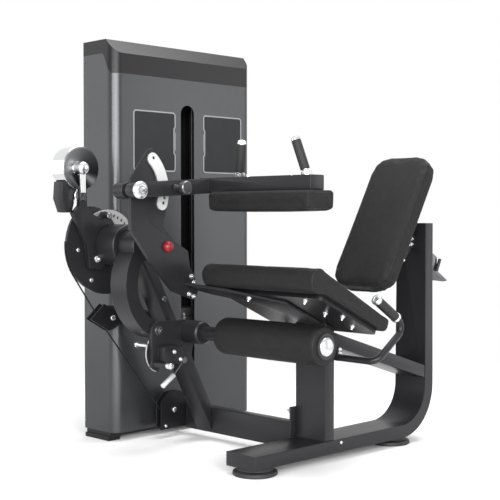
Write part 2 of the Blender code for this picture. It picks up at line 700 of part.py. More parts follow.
def make_weight_stack():
    rods, stem = stack_bores(STACK_LOW - 0.01, STACK_MID + 0.01)
    piece("weights_resting", "machine", "iron", weight_block(STACK_LOW, RESTING_PLATES),
          cut=[gathered(rods + [stem])])
    rods, stem = stack_bores(STACK_MID - 0.01, STACK_HEAD + 0.01)
    pin_hole = cylinder((STACK_X - 0.030, SLOT_CENTRE, PIN_Z), (1, 0, 0), PIN_RADIUS + RUNNING, 0.12,
                        sides=12)
    piece("weights_lifted", "weight_carriage", "iron", weight_block(STACK_MID, LIFTED_PLATES),
          cut=[gathered(rods), stem, pin_hole])
    head_low = STACK_HEAD
    rods, stem = stack_bores(head_low - 0.01, head_low + HEAD_HIGH + 0.01)
    stem.free()
    head = box((STACK_X - STACK_DEEP / 2, STACK_X + STACK_DEEP / 2),
               (SLOT_CENTRE - STACK_LONG / 2, SLOT_CENTRE + STACK_LONG / 2),
               (head_low, head_low + HEAD_HIGH), edge=0.003)
    stem_low = STACK_LOW + PLATE
    rod = cylinder((STACK_X, SLOT_CENTRE, stem_low), (0, 0, 1), STEM_RADIUS, head_low + 0.01 - stem_low,
                   sides=16)
    hole = cylinder((STACK_X - 0.05, SLOT_CENTRE, PIN_Z), (1, 0, 0), PIN_RADIUS + RUNNING, 0.10, sides=12)
    piece("weight_head", "weight_carriage", "iron", head, joined=[rod], cut=[gathered(rods), hole])
    tip = STACK_X - 0.025
    collar = STACK_X + STACK_DEEP / 2 + GAP - tip
    knob = 0.004 - tip
    pin = [(PIN_RADIUS - 0.002, 0), (PIN_RADIUS, 0.002), (PIN_RADIUS, collar), (PIN_RADIUS + 0.003, collar),
           (PIN_RADIUS + 0.003, knob), (PIN_KNOB, knob), (PIN_KNOB, knob + 0.024),
           (PIN_KNOB - 0.004, knob + 0.028)]
    piece("selector_pin", "stack_pin", "red_plastic",
          turned(pin, (tip, SLOT_CENTRE, PIN_Z), (1, 0, 0), sides=16))


def sheave(centre, axis, radius):
    """A pulley with a groove for the cable and a bore for its axle."""
    half = PULLEY_HALF
    root = radius - GROOVE_DEPTH - CABLE - RUNNING
    bore = bore_for(AXLE, 18)
    profile = [(bore, -half), (radius, -half), (radius, -half + 0.002), (root, -0.003), (root, 0.003),
               (radius, half - 0.002), (radius, half), (bore, half)]
    return turned(profile, centre, axis, sides=18, bored=True)


def post_middle(z):
    """Where the oblique post's middle line stands at one height."""
    return AXIS_Y + POST_BEHIND + (AXIS_Z - z) * POST_SLOPE


def make_pulleys():
    low_centre = (CAM_X, LOW_PULLEY_Y, LOW_PULLEY_Z)
    base_centre = (CAM_X, BASE_PULLEY_Y, BASE_PULLEY_Z)
    piece("pulley_low", "low_pulley", "nylon", sheave(low_centre, (1, 0, 0), PULLEY))
    piece("pulley_base", "base_pulley", "nylon", sheave(base_centre, (1, 0, 0), PULLEY))
    piece("pulley_turn", "turn_pulley", "nylon",
          sheave((TURN_X, TURN_PULLEY_Y, CABLE_LOW), (0, 0, 1), PULLEY_SMALL))
    piece("pulley_inner", "inner_pulley", "nylon",
          sheave((INNER_X, CABLE_IN_Y, INNER_Z), (0, 1, 0), PULLEY))
    piece("pulley_top", "top_pulley", "nylon", sheave(TOP_CENTRE, TOP_AXIS, TOP_GROOVE + GROOVE_DEPTH))

    plate = CAM_X + PULLEY_HALF + 0.003
    post_y = post_middle(LOW_PULLEY_Z)
    cover = [(AXIS_Y - 0.088, 0), (AXIS_Y - 0.024, 0.056), (AXIS_Y + 0.020, 0.034), (post_y + 0.018, 0.020),
             (post_y + 0.018, -0.020), (AXIS_Y + 0.040, -0.026), (AXIS_Y, -0.050)]
    cover = [(y, LOW_PULLEY_Z + z) for y, z in cover]
    foot = box((plate + 0.004, POST_LEFT - GAP), (post_y - 0.017, post_y + 0.017),
               (LOW_PULLEY_Z - 0.018, LOW_PULLEY_Z + 0.018))
    axle = cylinder((CAM_X - PULLEY_HALF, LOW_PULLEY_Y, LOW_PULLEY_Z), (1, 0, 0), AXLE,
                    2 * PULLEY_HALF + 0.006, sides=12)
    piece("pulley_low_bracket", "machine", "black_paint", prism(cover, plate, plate + 0.005),
          joined=[foot, axle])

    near = BASE_PULLEY_Y - 0.068
    cheek = [(near, 0.037), (SEAT_POST_REAR, 0.037), (SEAT_POST_REAR, 0.120),
             (BASE_PULLEY_Y + 0.070, 0.165), (BASE_PULLEY_Y + 0.030, 0.188), (BASE_PULLEY_Y - 0.030, 0.186),
             (near, 0.150)]
    tongue = box((TURN_X - 0.012, plate + 0.002), (BASE_PULLEY_Y + 0.055, TURN_PULLEY_Y + 0.014),
                 (0.044, 0.053))
    base_axle = cylinder((CAM_X - PULLEY_HALF, BASE_PULLEY_Y, BASE_PULLEY_Z), (1, 0, 0), AXLE,
                         2 * PULLEY_HALF + 0.006, sides=12)
    turn_axle = cylinder((TURN_X, TURN_PULLEY_Y, 0.050), (0, 0, 1), AXLE,
                         CABLE_LOW + PULLEY_HALF - 0.050, sides=12)
    piece("pulley_base_bracket", "machine", "black_paint", prism(cheek, plate, BEAM_LEFT - GAP),
          joined=[tongue, base_axle, turn_axle])


def heading_between(first, second, first_radius, second_radius):
    """The heading of a belt that passes two circles on the same side, both on its left."""
    step = (second[0] - first[0], second[1] - first[1])
    reach = math.hypot(*step)
    return math.atan2(step[1], step[0]) + math.asin((first_radius - second_radius) / reach)


def cable_route():
    """The cable's middle line: cam, two outer pulleys, into the tower, up and over to the stack."""
    circles = [((AXIS_Y, AXIS_Z), CAM_RADIUS + CABLE + RUNNING), ((LOW_PULLEY_Y, LOW_PULLEY_Z), GROOVE),
               ((BASE_PULLEY_Y, BASE_PULLEY_Z), GROOVE)]
    headings = []
    for (here, near), (there, far) in zip(circles, circles[1:]):
        headings.append(heading_between(here, there, near, far))
    spans = [(headings[0] - math.radians(40), headings[0], 6), (headings[0], headings[1], 2),
             (headings[1], 0.0, 6)]
    flat = []
    for (centre, radius), (start, end, steps) in zip(circles, spans):
        flat += arc(centre, radius, math.degrees(start) - 90, math.degrees(end) - 90, steps)
    route = [Vector((CAM_X, y, z)) for y, z in flat]
    for y_shift, x_shift in arc((0, 0), GROOVE_SMALL, 0, 90, 6):
        route.append(Vector((TURN_X + y_shift, TURN_PULLEY_Y + x_shift, CABLE_LOW)))
    for x_shift, z_shift in arc((0, 0), GROOVE, 270, 180, 6):
        route.append(Vector((INNER_X + x_shift, CABLE_IN_Y, INNER_Z + z_shift)))
    across = TOP_RUN.normalized()
    for along, rise in arc((0, 0), TOP_GROOVE, 180, 0, 12):
        route.append(TOP_CENTRE + across * along + Vector((0, 0, rise)))
    route.append(Vector((STACK_X, SLOT_CENTRE, STACK_HEAD + HEAD_HIGH + GAP)))
    return route


def make_cable():
    piece("cable", "machine", "rubber", pipe(cable_route(), CABLE, sides=6))


def under_seat(y):
    """The height of the seat board's underside above a point of the floor frame."""
    drop = (SEAT_BOARD + 2 * GAP) / math.cos(SEAT_FALL)
    return SEAT_BACK_Z - (y - SEAT_BACK_Y) * math.tan(SEAT_FALL) - drop


def make_floor_frame():
    tube_end = SEAT_CENTRE - TUBE_WIDE / 2
    flange = box((tube_end - FLANGE - GAP, tube_end - GAP),
                 (SEAT_POST_FRONT - 0.024, SEAT_POST_REAR + 0.024),
                 (RUNNER_TOP + GAP, BEAM_TOP + FLANGE_RISE), edge=0.002)
    beam = box((BEAM_LEFT, tube_end - FLANGE / 2), (SEAT_POST_FRONT, SEAT_POST_REAR),
               (BEAM_LOW, BEAM_TOP), edge=TUBE_EDGE)
    piece("cross_beam", "machine", "frame_paint", beam, joined=[flange])

    bend = (UPRIGHT_REAR - RUNNER_BEND, RUNNER_LOW + RUNNER_BEND)
    outer = arc(bend, RUNNER_BEND, 270, 360, 12)
    inner = arc(bend, RUNNER_BEND - TUBE_THICK, 360, 270, 12)
    band = [(RUNNER_FRONT, RUNNER_LOW)] + outer
    band += [(UPRIGHT_REAR, UPRIGHT_TOP), (UPRIGHT_FRONT, UPRIGHT_TOP)]
    band += inner + [(RUNNER_FRONT, RUNNER_TOP)]
    passage = BACK_TUBE / 2 + 0.0006
    piece("runner_frame", "machine", "frame_paint", prism(band, FRAME_LEFT, FRAME_RIGHT, edge=TUBE_EDGE),
          cut=[box((SEAT_CENTRE - passage, SEAT_CENTRE + passage),
                   (UPRIGHT_FRONT - 0.02, UPRIGHT_REAR + 0.02),
                   (BACK_TUBE_Z - passage, BACK_TUBE_Z + passage))])

    post = [(SEAT_POST_FRONT, RUNNER_TOP + GAP), (SEAT_POST_REAR, RUNNER_TOP + GAP),
            (SEAT_POST_REAR, under_seat(SEAT_POST_REAR) - GAP),
            (SEAT_POST_FRONT, under_seat(SEAT_POST_FRONT) - GAP)]
    piece("seat_post", "machine", "frame_paint", prism(post, FRAME_LEFT, FRAME_RIGHT, edge=TUBE_EDGE))

    fall = math.tan(INCLINE_FALL)
    depth = TUBE_THICK / math.cos(INCLINE_FALL)
    start = SEAT_POST_REAR + GAP
    end = UPRIGHT_FRONT - GAP
    drop = (end - start) * fall
    incline = [(start, INCLINE_START - depth), (end, INCLINE_START - depth - drop),
               (end, INCLINE_START - drop),
               (start, INCLINE_START)]
    piece("incline_tube", "machine", "frame_paint", prism(incline, FRAME_LEFT, FRAME_RIGHT, edge=TUBE_EDGE))

    foot = [(FOOT_RADIUS - 0.004, 0), (FOOT_RADIUS, 0.004), (FOOT_RADIUS - 0.002, 0.014),
            (FOOT_RADIUS - 0.014, 0.020), (FOOT_RADIUS - 0.018, RUNNER_LOW - GAP)]
    for name, y in (("foot_front", FRONT_FOOT_Y), ("foot_rear", REAR_FOOT_Y)):
        piece(name, "machine", "rubber", turned(foot, (SEAT_CENTRE, y, 0), (0, 0, 1), sides=32))

    face = SEAT_POST_FRONT - GAP
    front_y = post_middle(AXIS_Z) - POST_ACROSS / 2
    rear_y = post_middle(AXIS_Z) + POST_ACROSS / 2
    post = [(front_y, AXIS_Z), (face, AXIS_Z - (face - front_y) / POST_SLOPE),
            (face, AXIS_Z - (face - rear_y) / POST_SLOPE), (rear_y, AXIS_Z)]
    boss = cylinder((BOSS_LEFT, AXIS_Y, AXIS_Z), (1, 0, 0), BOSS_RADIUS, BOSS_RIGHT - BOSS_LEFT,
                    sides=32, edge=0.003)
    bore = cylinder((BOSS_LEFT - 0.05, AXIS_Y, AXIS_Z), (1, 0, 0), SHAFT_RADIUS + RUNNING, 0.30, sides=24)
    hub_room = cylinder((BOSS_RIGHT, AXIS_Y, AXIS_Z), (1, 0, 0), LEVER_HUB + 0.004, 0.10, sides=32)
    piece("oblique_post", "machine", "frame_paint", prism(post, POST_LEFT, POST_RIGHT, edge=0.004),
          joined=[boss], cut=[bore, hub_room])


def make_lever():
    centre = (AXIS_Y, AXIS_Z)
    profile = []
    for k in range(48):
        angle = 2 * math.pi * k / 48
        lobe = 0.5 - 0.5 * math.cos(min(max((math.degrees(angle) - 60) / 85, 0), 1) * math.pi)
        tail = 0.5 - 0.5 * math.cos(min(max((360 - math.degrees(angle)) / 70, 0), 1) * math.pi)
        radius = CAM_HEEL + (CAM_RADIUS - CAM_HEEL) * min(lobe, tail)
        profile.append((centre[0] + radius * math.cos(angle), centre[1] + radius * math.sin(angle)))
    shaft_hole = SHAFT_RADIUS + RUNNING
    piece("cam_disc", "cam", "black_paint", prism(profile, CAM_LEFT, CAM_RIGHT),
          cut=[cylinder((CAM_LEFT - 0.01, *centre), (1, 0, 0), shaft_hole, 0.04)])

    fan = arc(centre, SELECTOR_RADIUS, 25, 155, 16) + arc(centre, 0.040, 180, 360, 8)
    holes = [cylinder((SELECTOR_LEFT - 0.01, centre[0] + SELECTOR_HOLES * math.cos(math.radians(a)),
                       centre[1] + SELECTOR_HOLES * math.sin(math.radians(a))), (1, 0, 0),
                      START_PIN + RUNNING, 0.03, sides=10) for a in range(35, 155, 10)]
    piece("selector_plate", "cam", "steel", prism(fan, SELECTOR_LEFT, SELECTOR_RIGHT),
          cut=[cylinder((SELECTOR_LEFT - 0.01, *centre), (1, 0, 0), shaft_hole, 0.03), gathered(holes)])

    piece("main_shaft", "lever", "steel",
          cylinder((CAM_LEFT - 0.006, *centre), (1, 0, 0), SHAFT_RADIUS,
                   PLATE_LEFT - GAP - CAM_LEFT + 0.006,
                   sides=24, edge=0.002))

    keyed = SHAFT_RADIUS + GAP
    arc_centre = (LEVER_ARC_Y, LEVER_ARC_Z)
    band = arc(arc_centre, LEVER_ARC + LEVER_THICK / 2, 138, 248, 16)
    band += arc(arc_centre, LEVER_ARC - LEVER_THICK / 2, 248, 138, 16)
    hub = cylinder((LEVER_LEFT, *centre), (1, 0, 0), LEVER_HUB, LEVER_RIGHT - LEVER_LEFT, sides=32,
                   edge=0.003)
    quadrant = [(-0.026 + (y + 0.026) * 0.8, z) for y, z in arc((-0.026, 0.389), 0.070, 90, 270, 12)]
    quadrant += [(-0.012, 0.340), (-0.012, 0.462)]
    stops = [cylinder((LEVER_LEFT, y, z), (1, 0, 0), 0.004, 0.2, sides=10)
             for y, z in ((-0.0485, 0.4299), (-0.0556, 0.4063), (-0.0522, 0.3792))]
    piece("lever_arm", "lever", "frame_paint", prism(band, LEVER_LEFT, LEVER_RIGHT, edge=0.005),
          joined=[hub, prism(quadrant, LEVER_RIGHT - 0.010, LEVER_RIGHT)],
          cut=[cylinder((LEVER_LEFT - 0.01, *centre), (1, 0, 0), keyed, 0.12), gathered(stops)])

    neck = [(-0.200, 0.790), (-0.268, 0.912), (-0.234, 0.941), (-0.231, 1.015), (-0.203, 1.015),
            (-0.203, 0.938), (-0.173, 0.906), (-0.142, 0.894)]
    lug = arc((START_Y, START_Z), 3 * START_PIN, 165, 0, 6)
    hub_side = arc(centre, 0.062, 60, -110, 10)
    arm = neck + lug + hub_side + [(-0.135, 0.700), (-0.190, 0.702)]
    start_hole = cylinder((ARM_LEFT - 0.01, START_Y, START_Z), (1, 0, 0), START_PIN + RUNNING, 0.04,
                          sides=12)
    slit = cylinder((ARM_LEFT - 0.01, DRUM_Y, DRUM_Z), (1, 0, 0), DRUM_RADIUS + GAP, 0.04, sides=40)
    piece("counterweight_arm", "lever", "black_paint", prism(arm, ARM_LEFT, ARM_RIGHT, edge=0.002),
          cut=[gathered([cylinder((ARM_LEFT - 0.01, *centre), (1, 0, 0), keyed, 0.04), start_hole]), slit])

    depth = DRUM_RIGHT - DRUM_LEFT
    dish = 0.020
    drum = [(DRUM_RADIUS - 0.004, 0), (DRUM_RADIUS, 0.004), (DRUM_RADIUS, depth - 0.003),
            (DRUM_RADIUS - 0.003, depth), (DRUM_RADIUS - 0.009, depth), (0.034, depth - dish)]
    bar = prism(link((DRUM_Y, DRUM_Z), (DRUM_Y + 0.004, 0.962), 0.012), DRUM_RIGHT + GAP,
                DRUM_RIGHT + 0.008)
    nut = turned([(0.024, 0), (0.024, dish + 0.014), (0.016, dish + 0.022), (0.006, dish + 0.026)],
                 (DRUM_RIGHT - dish - 0.002, DRUM_Y, DRUM_Z),
                 (1, 0, 0), sides=24)
    spacer = cylinder((DRUM_LEFT + 0.013, -0.217, 0.979), (1, 0, 0), 0.026,
                      ARM_LEFT - GAP - DRUM_LEFT - 0.013, sides=24, edge=0.002)
    piece("counterweight_drum", "lever", "chrome",
          turned(drum, (DRUM_LEFT, DRUM_Y, DRUM_Z), (1, 0, 0), sides=40), joined=[nut, bar, spacer])

    block = [(-0.299, 1.031), (-0.304, 0.968), (-0.284, 0.916), (-0.256, 0.915), (-0.246, 0.950),
             (-0.246, 1.020)]
    seat = cylinder((DRUM_LEFT - 0.01, DRUM_Y, DRUM_Z), (1, 0, 0), DRUM_RADIUS + GAP, 0.10, sides=40)
    piece("counterweight_block", "lever", "black_paint",
          prism(block, DRUM_LEFT + 0.003, ARM_LEFT - GAP, edge=0.003),
          cut=[seat])

    tip = SELECTOR_RIGHT + RUNNING
    neck = ARM_RIGHT + SELECTOR_THICK + RUNNING - tip
    pin = [(START_PIN - 0.001, 0), (START_PIN, 0.001), (START_PIN, neck), (0.009, neck),
           (0.009, neck + 0.010),
           (0.013, neck + 0.012), (0.013, neck + 0.020), (0.010, neck + 0.023)]
    piece("start_pin", "start_stop", "chrome", turned(pin, (tip, START_Y, START_Z), (1, 0, 0), sides=16))


def make_roller():
    left = LEVER_RIGHT + GAP
    right = LEVER_RIGHT + BRACKET_THICK
    outline = arc((ROLLER_Y, ROLLER_Z), ROLLER_HOUSING, -45, 90, 8)
    outline += arc(LEVER_END, 0.034, 90, 200, 8)
    outline += [(PLUNGER_Y - 0.014, PLUNGER_Z + 0.016), (PLUNGER_Y - 0.014, PLUNGER_Z - 0.014),
                (CATCH_Y - 0.020, 0.334), (CATCH_Y + 0.022, 0.338), (CATCH_Y + 0.050, 0.372)]
    housing = cylinder((left, ROLLER_Y, ROLLER_Z), (1, 0, 0), ROLLER_HOUSING, ROLLER_HOUSING_END - left,
                       sides=32, edge=0.006)
    clamp = box((right - 0.004, right + 0.034), (PLUNGER_Y + 0.014, CATCH_Y - 0.026), (0.347, 0.413),
                edge=0.003)
    plunger = cylinder((right - 0.004, PLUNGER_Y, PLUNGER_Z), (1, 0, 0), PLUNGER, 0.072, sides=16,
                       edge=0.002)
    bore = cylinder((left - 0.01, ROLLER_Y, ROLLER_Z), (1, 0, 0), ROLLER_BORE + GAP, 0.20, sides=20)
    piece("roller_bracket", "roller_swing", "black_paint", prism(outline, left, right, edge=0.002),
          joined=[housing, clamp, plunger], cut=[bore])

    end = ROLLER_RIGHT + RUNNING
    sleeve_start = ROLLER_HOUSING_END + GAP - left
    sleeve_end = ROLLER_LEFT - RUNNING - left
    shaft = [(ROLLER_BORE - 0.001, 0), (ROLLER_BORE, 0.001), (ROLLER_BORE, sleeve_start),
             (ROLLER_SLEEVE, sleeve_start), (ROLLER_SLEEVE, sleeve_end), (ROLLER_BORE, sleeve_end),
             (ROLLER_BORE, end - left), (ROLLER_HEAD, end - left),
             (ROLLER_HEAD, end - left + 0.004), (ROLLER_HEAD - 0.008, end - left + 0.012),
             (0.012, end - left + 0.016)]
    piece("roller_shaft", "roller_swing", "chrome",
          turned(shaft, (left, ROLLER_Y, ROLLER_Z), (1, 0, 0), sides=24))

    long = ROLLER_RIGHT - ROLLER_LEFT
    soft = 0.016
    side = ROLLER_RADIUS - 0.0015 - soft
    bore_radius = ROLLER_BORE + RUNNING
    turns = [math.radians(a) for a in (30, 60, 90)]
    foam = [(bore_radius, 0.004), (ROLLER_RADIUS - soft, 0)]
    foam += [(side + soft * math.sin(a), soft - soft * math.cos(a)) for a in turns]
    foam += [(ROLLER_RADIUS, long / 2)]
    foam += [(side + soft * math.sin(a), long - soft + soft * math.cos(a)) for a in turns[::-1]]
    foam += [(ROLLER_RADIUS - soft, long), (bore_radius, long - 0.004)]
    piece("roller_foam", "roller", "upholstery",
          turned(foam, (ROLLER_LEFT, ROLLER_Y, ROLLER_Z), (1, 0, 0), sides=36, bored=True))

    catch_x = right + GAP + 0.008
    route = [(catch_x, CATCH_Y, CATCH_Z), (catch_x, CATCH_Y - 0.050, CATCH_Z - 0.053),
             (catch_x, CATCH_Y - 0.102, CATCH_Z - 0.088)]
    boss = cylinder((right + GAP, CATCH_Y, CATCH_Z), (1, 0, 0), 0.012, 0.016, sides=16)
    sleeve = cylinder(route[1], Vector(route[2]) - Vector(route[1]), 0.009, 0.066, sides=16, edge=0.002)
    piece("roller_catch_lever", "roller_catch", "steel", boss, joined=[pipe(route, 0.004, sides=8), sleeve])


def make_thigh_hold():
    pivot = (THIGH_Y, THIGH_Z)
    rear = [(-0.150, 1.146), (-0.118, 1.075), (-0.094, 1.000), (-0.086, 0.917), (-0.106, 0.864)]
    lower = [(-0.048, 0.809), (0.015, 0.773), (0.025, 0.710), (0.044, 0.687), (0.064, 0.622),
             (0.049, 0.589),
             (-0.059, 0.628), (-0.162, 0.738), (-0.253, 0.853)]
    plate = rear + lower + [(-0.253, 1.020), (-0.246, 1.038), (-0.166, 1.142)]
    layer = [(-0.171, 0.881)] + lower + [(-0.253, 0.972), (-0.178, 0.972)]
    barrel = cylinder((BARREL_LEFT, *pivot), (1, 0, 0), BARREL_RADIUS, PLATE_LEFT + 0.004 - BARREL_LEFT,
                      sides=24, edge=0.002)
    gusset = prism([(BARREL_LEFT + 0.006, THIGH_Z - 0.010), (PLATE_LEFT + 0.004, THIGH_Z - 0.010),
                    (PLATE_LEFT + 0.004, 0.862)],
                   THIGH_Y + 0.006, THIGH_Y + 0.016, along="y")
    bore = cylinder((BARREL_LEFT - 0.02, *pivot), (1, 0, 0), THIGH_PIN + RUNNING, 0.12, sides=20)
    piece("thigh_bracket", "machine", "frame_paint", prism(plate, PLATE_LEFT, PLATE_RIGHT, edge=0.002),
          joined=[prism(layer, PLATE_LEFT + 0.002, PLATE_RIGHT + PLATE_LAYER), barrel, gusset], cut=[bore])

    ends = [arc(pivot, SECTOR_RADIUS, angle, angle, 1)[0] for angle in (SECTOR_LOW, SECTOR_HIGH)]
    sector = arc(pivot, SECTOR_RADIUS + SECTOR_HALF, SECTOR_LOW, SECTOR_HIGH, 14)
    sector += arc(ends[1], SECTOR_HALF, SECTOR_HIGH, SECTOR_HIGH + 180, 8)[1:-1]
    sector += arc(pivot, SECTOR_RADIUS - SECTOR_HALF, SECTOR_HIGH, SECTOR_LOW, 14)
    sector += arc(ends[0], SECTOR_HALF, SECTOR_LOW + 180, SECTOR_LOW + 360, 8)[1:-1]
    sector_left = PLATE_RIGHT + GAP
    sector_right = PLATE_RIGHT + PLATE_LAYER
    holes = []
    for angle in (*SECTOR_STOPS, math.degrees(CRANK_LIFT)):
        place = arc(pivot, SECTOR_HOLES, angle, angle, 1)[0]
        holes.append(cylinder((sector_left - 0.01, *place), (1, 0, 0), 0.0065, 0.03, sides=10))
    piece("sector_plate", "machine", "steel", prism(sector, sector_left, sector_right),
          cut=[gathered(holes)])

    knob = [(0.020, 0), (0.021, 0.004), (0.0185, 0.013), (0.012, 0.019), (0.004, 0.0215)]
    piece("knee_axis_knob", "machine", "red_plastic",
          turned(knob, (PLATE_RIGHT + PLATE_LAYER + GAP, AXIS_Y, AXIS_Z), (1, 0, 0), sides=24))

    beam_middle = (BEAM_Y + BEAM_DEEP - 0.004, BEAM_Z + BEAM_TALL / 2)
    crank = prism(link(pivot, beam_middle, CRANK_HIGH / 2), CRANK_LEFT, CRANK_RIGHT, edge=0.003)
    beam = box((CRANK_LEFT, BEAM_END), (BEAM_Y, BEAM_Y + BEAM_DEEP), (BEAM_Z, BEAM_Z + BEAM_TALL),
               edge=0.004)
    holes = [cylinder((CRANK_LEFT - 0.01, *pivot), (1, 0, 0), THIGH_PIN + GAP, 0.09, sides=20),
             cylinder((CRANK_LEFT - 0.01, THIGH_PIN_Y, THIGH_PIN_Z), (1, 0, 0), 0.006 + RUNNING, 0.09,
                      sides=12)]
    piece("thigh_arm", "thigh_hold", "frame_paint", beam, joined=[crank], cut=[gathered(holes)])

    long = CRANK_RIGHT + GAP - BARREL_LEFT
    pin = [(THIGH_PIN - 0.002, 0), (THIGH_PIN, 0.002), (THIGH_PIN, long), (0.030, long),
           (0.031, long + 0.006),
           (0.024, long + 0.013), (0.010, long + 0.016)]
    piece("thigh_pivot_pin", "thigh_hold", "chrome",
          turned(pin, (BARREL_LEFT, *pivot), (1, 0, 0), sides=24))

    tip = sector_right + RUNNING
    neck = CRANK_RIGHT + PLATE_LAYER + RUNNING - tip
    stop = [(0.005, 0), (0.006, 0.001), (0.006, neck), (0.013, neck), (0.009, neck + 0.024),
            (0.009, neck + 0.044),
            (0.024, neck + 0.046), (0.024, neck + 0.062), (0.021, neck + 0.065)]
    piece("thigh_pin", "thigh_stop", "steel",
          turned(stop, (tip, THIGH_PIN_Y, THIGH_PIN_Z), (1, 0, 0), sides=20))

    crown = 0.004
    pad = cushion(PAD_WIDE, PAD_DEEP, PAD_THICK - crown, crown, PAD_CORNER, 0.002, PAD_EDGE)
    middle = (SEAT_CENTRE, BEAM_Y + BEAM_DEEP / 2 - PAD_FORWARD, BEAM_Z - GAP)
    piece("thigh_pad", "thigh_hold", "upholstery",
          placed(pad, Matrix.Translation(middle) @ Matrix.Rotation(math.pi, 4, "Y")))

    for name, side in (("near", -1), ("far", 1)):
        base = Vector((SEAT_CENTRE + side * HANDLE_OUT, BEAM_Y + BEAM_DEEP / 2, BEAM_Z + BEAM_TALL + GAP))
        lean = Vector((-side * HANDLE_LEAN_IN, -HANDLE_LEAN_FORWARD, HANDLE_HIGH))
        stem_long = lean.length
        stem = [(0.019, -0.020), (0.019, 0.014), (STEM, 0.016), (STEM, stem_long),
                (GRIP_RADIUS, stem_long + 0.001),
                (GRIP_RADIUS - 0.002, stem_long + 0.010), (0.008, stem_long + 0.014)]
        below = box((base.x - 0.05, base.x + 0.05), (base.y - 0.05, base.y + 0.05), (base.z - 0.05, base.z))
        piece(f"thigh_handle_{name}", "thigh_hold", "chrome", turned(stem, base, lean, sides=14),
              cut=[below])
        bore = bore_for(STEM, 14)
        grip = [(bore, 0.020), (GRIP_RADIUS - 0.001, 0.020), (GRIP_RADIUS, 0.024),
                (GRIP_RADIUS, stem_long - 0.004), (GRIP_RADIUS - 0.001, stem_long - GAP),
                (bore, stem_long - GAP)]
        piece(f"thigh_grip_{name}", "thigh_hold", "rubber", turned(grip, base, lean, sides=14, bored=True))


def make_seat():
    slope = Matrix.Translation((SEAT_CENTRE, SEAT_BACK_Y, SEAT_BACK_Z))
    slope = slope @ Matrix.Rotation(-SEAT_FALL, 4, "X")
    half = SEAT_WIDE / 2
    nose = SEAT_TAIL_REACH - SEAT_LONG + SEAT_NOSE
    tail = SEAT_TAIL_REACH - SEAT_TAIL_ROUND
    board_front = nose + SEAT_NOSE + 0.005
    outline = arc((tail, SEAT_TAIL_ROUND), SEAT_TAIL_ROUND, 270, 360, 4)
    outline += arc((tail, SEAT_TAIL - SEAT_TAIL_ROUND), SEAT_TAIL_ROUND, 0, 87, 4)
    outline += arc((nose, SEAT_NOSE_LIFT), SEAT_NOSE, 87, 290, 14) + [(nose + SEAT_NOSE, 0.0)]
    pad = bolster(outline, -half, half, SEAT_EDGE)
    piece("seat_pad", "machine", "upholstery", placed(pad, slope))
    board_long = tail - board_front
    board = prism(rounded(SEAT_WIDE - 0.060, board_long, 0.030, 3), -SEAT_BOARD - GAP, -GAP, along="z")
    board_middle = Matrix.Translation((0, board_front + board_long / 2, 0))
    piece("seat_base", "machine", "black_paint", placed(board, slope @ board_middle))

    under = -SEAT_BOARD - 2 * GAP
    left = PLATE_RIGHT + PLATE_LAYER + GAP - SEAT_CENTRE
    left_post = FRAME_LEFT + 0.020 - SEAT_CENTRE
    right_post = FRAME_RIGHT - 0.020 - SEAT_CENTRE
    plate = [(left, nose - 0.031), (left + 0.046, nose - 0.019), (left + 0.180, nose + 0.004),
             (right_post, nose + 0.100), (right_post, 0.150), (left_post, 0.150), (left_post - 0.020, 0.010),
             (left_post - 0.046, nose + 0.139), (left_post - 0.096, nose + 0.104),
             (left_post - 0.166, nose + 0.082), (left + 0.056, nose + 0.056), (left, nose + 0.010)]
    beyond = box((0, 2), (SEAT_POST_FRONT - GAP, 1), (0, 1))
    piece("seat_frame", "machine", "frame_paint",
          placed(prism(plate, under - SEAT_FRAME_TALL, under, along="z", edge=0.002), slope), cut=[beyond])

    for name, side in (("near", -1), ("far", 1)):
        reach = SEAT_CENTRE + side * HANDLE_X
        joint = SEAT_POST_REAR + HANDLE_TUBE + GAP
        inner = SEAT_CENTRE + side * 0.0006
        route = [(inner, joint, 0.385), (reach, joint, 0.385), (reach, 0.535, 0.500), (reach, 0.366, 0.607)]
        piece(f"seat_handle_{name}", "machine", "frame_paint",
              pipe(bent(route, 0.034), HANDLE_TUBE, sides=12))
        end = Vector(route[3])
        run = (Vector(route[2]) - end).normalized()
        bore = bore_for(HANDLE_TUBE, 14)
        grip = [(bore, 0.010), (HANDLE_GRIP, 0.010), (HANDLE_GRIP + 0.001, 0.016),
                (HANDLE_GRIP + 0.001, 0.120),
                (HANDLE_GRIP, 0.126), (bore, 0.126)]
        piece(f"seat_grip_{name}", "machine", "rubber", turned(grip, end, run, sides=14, bored=True))


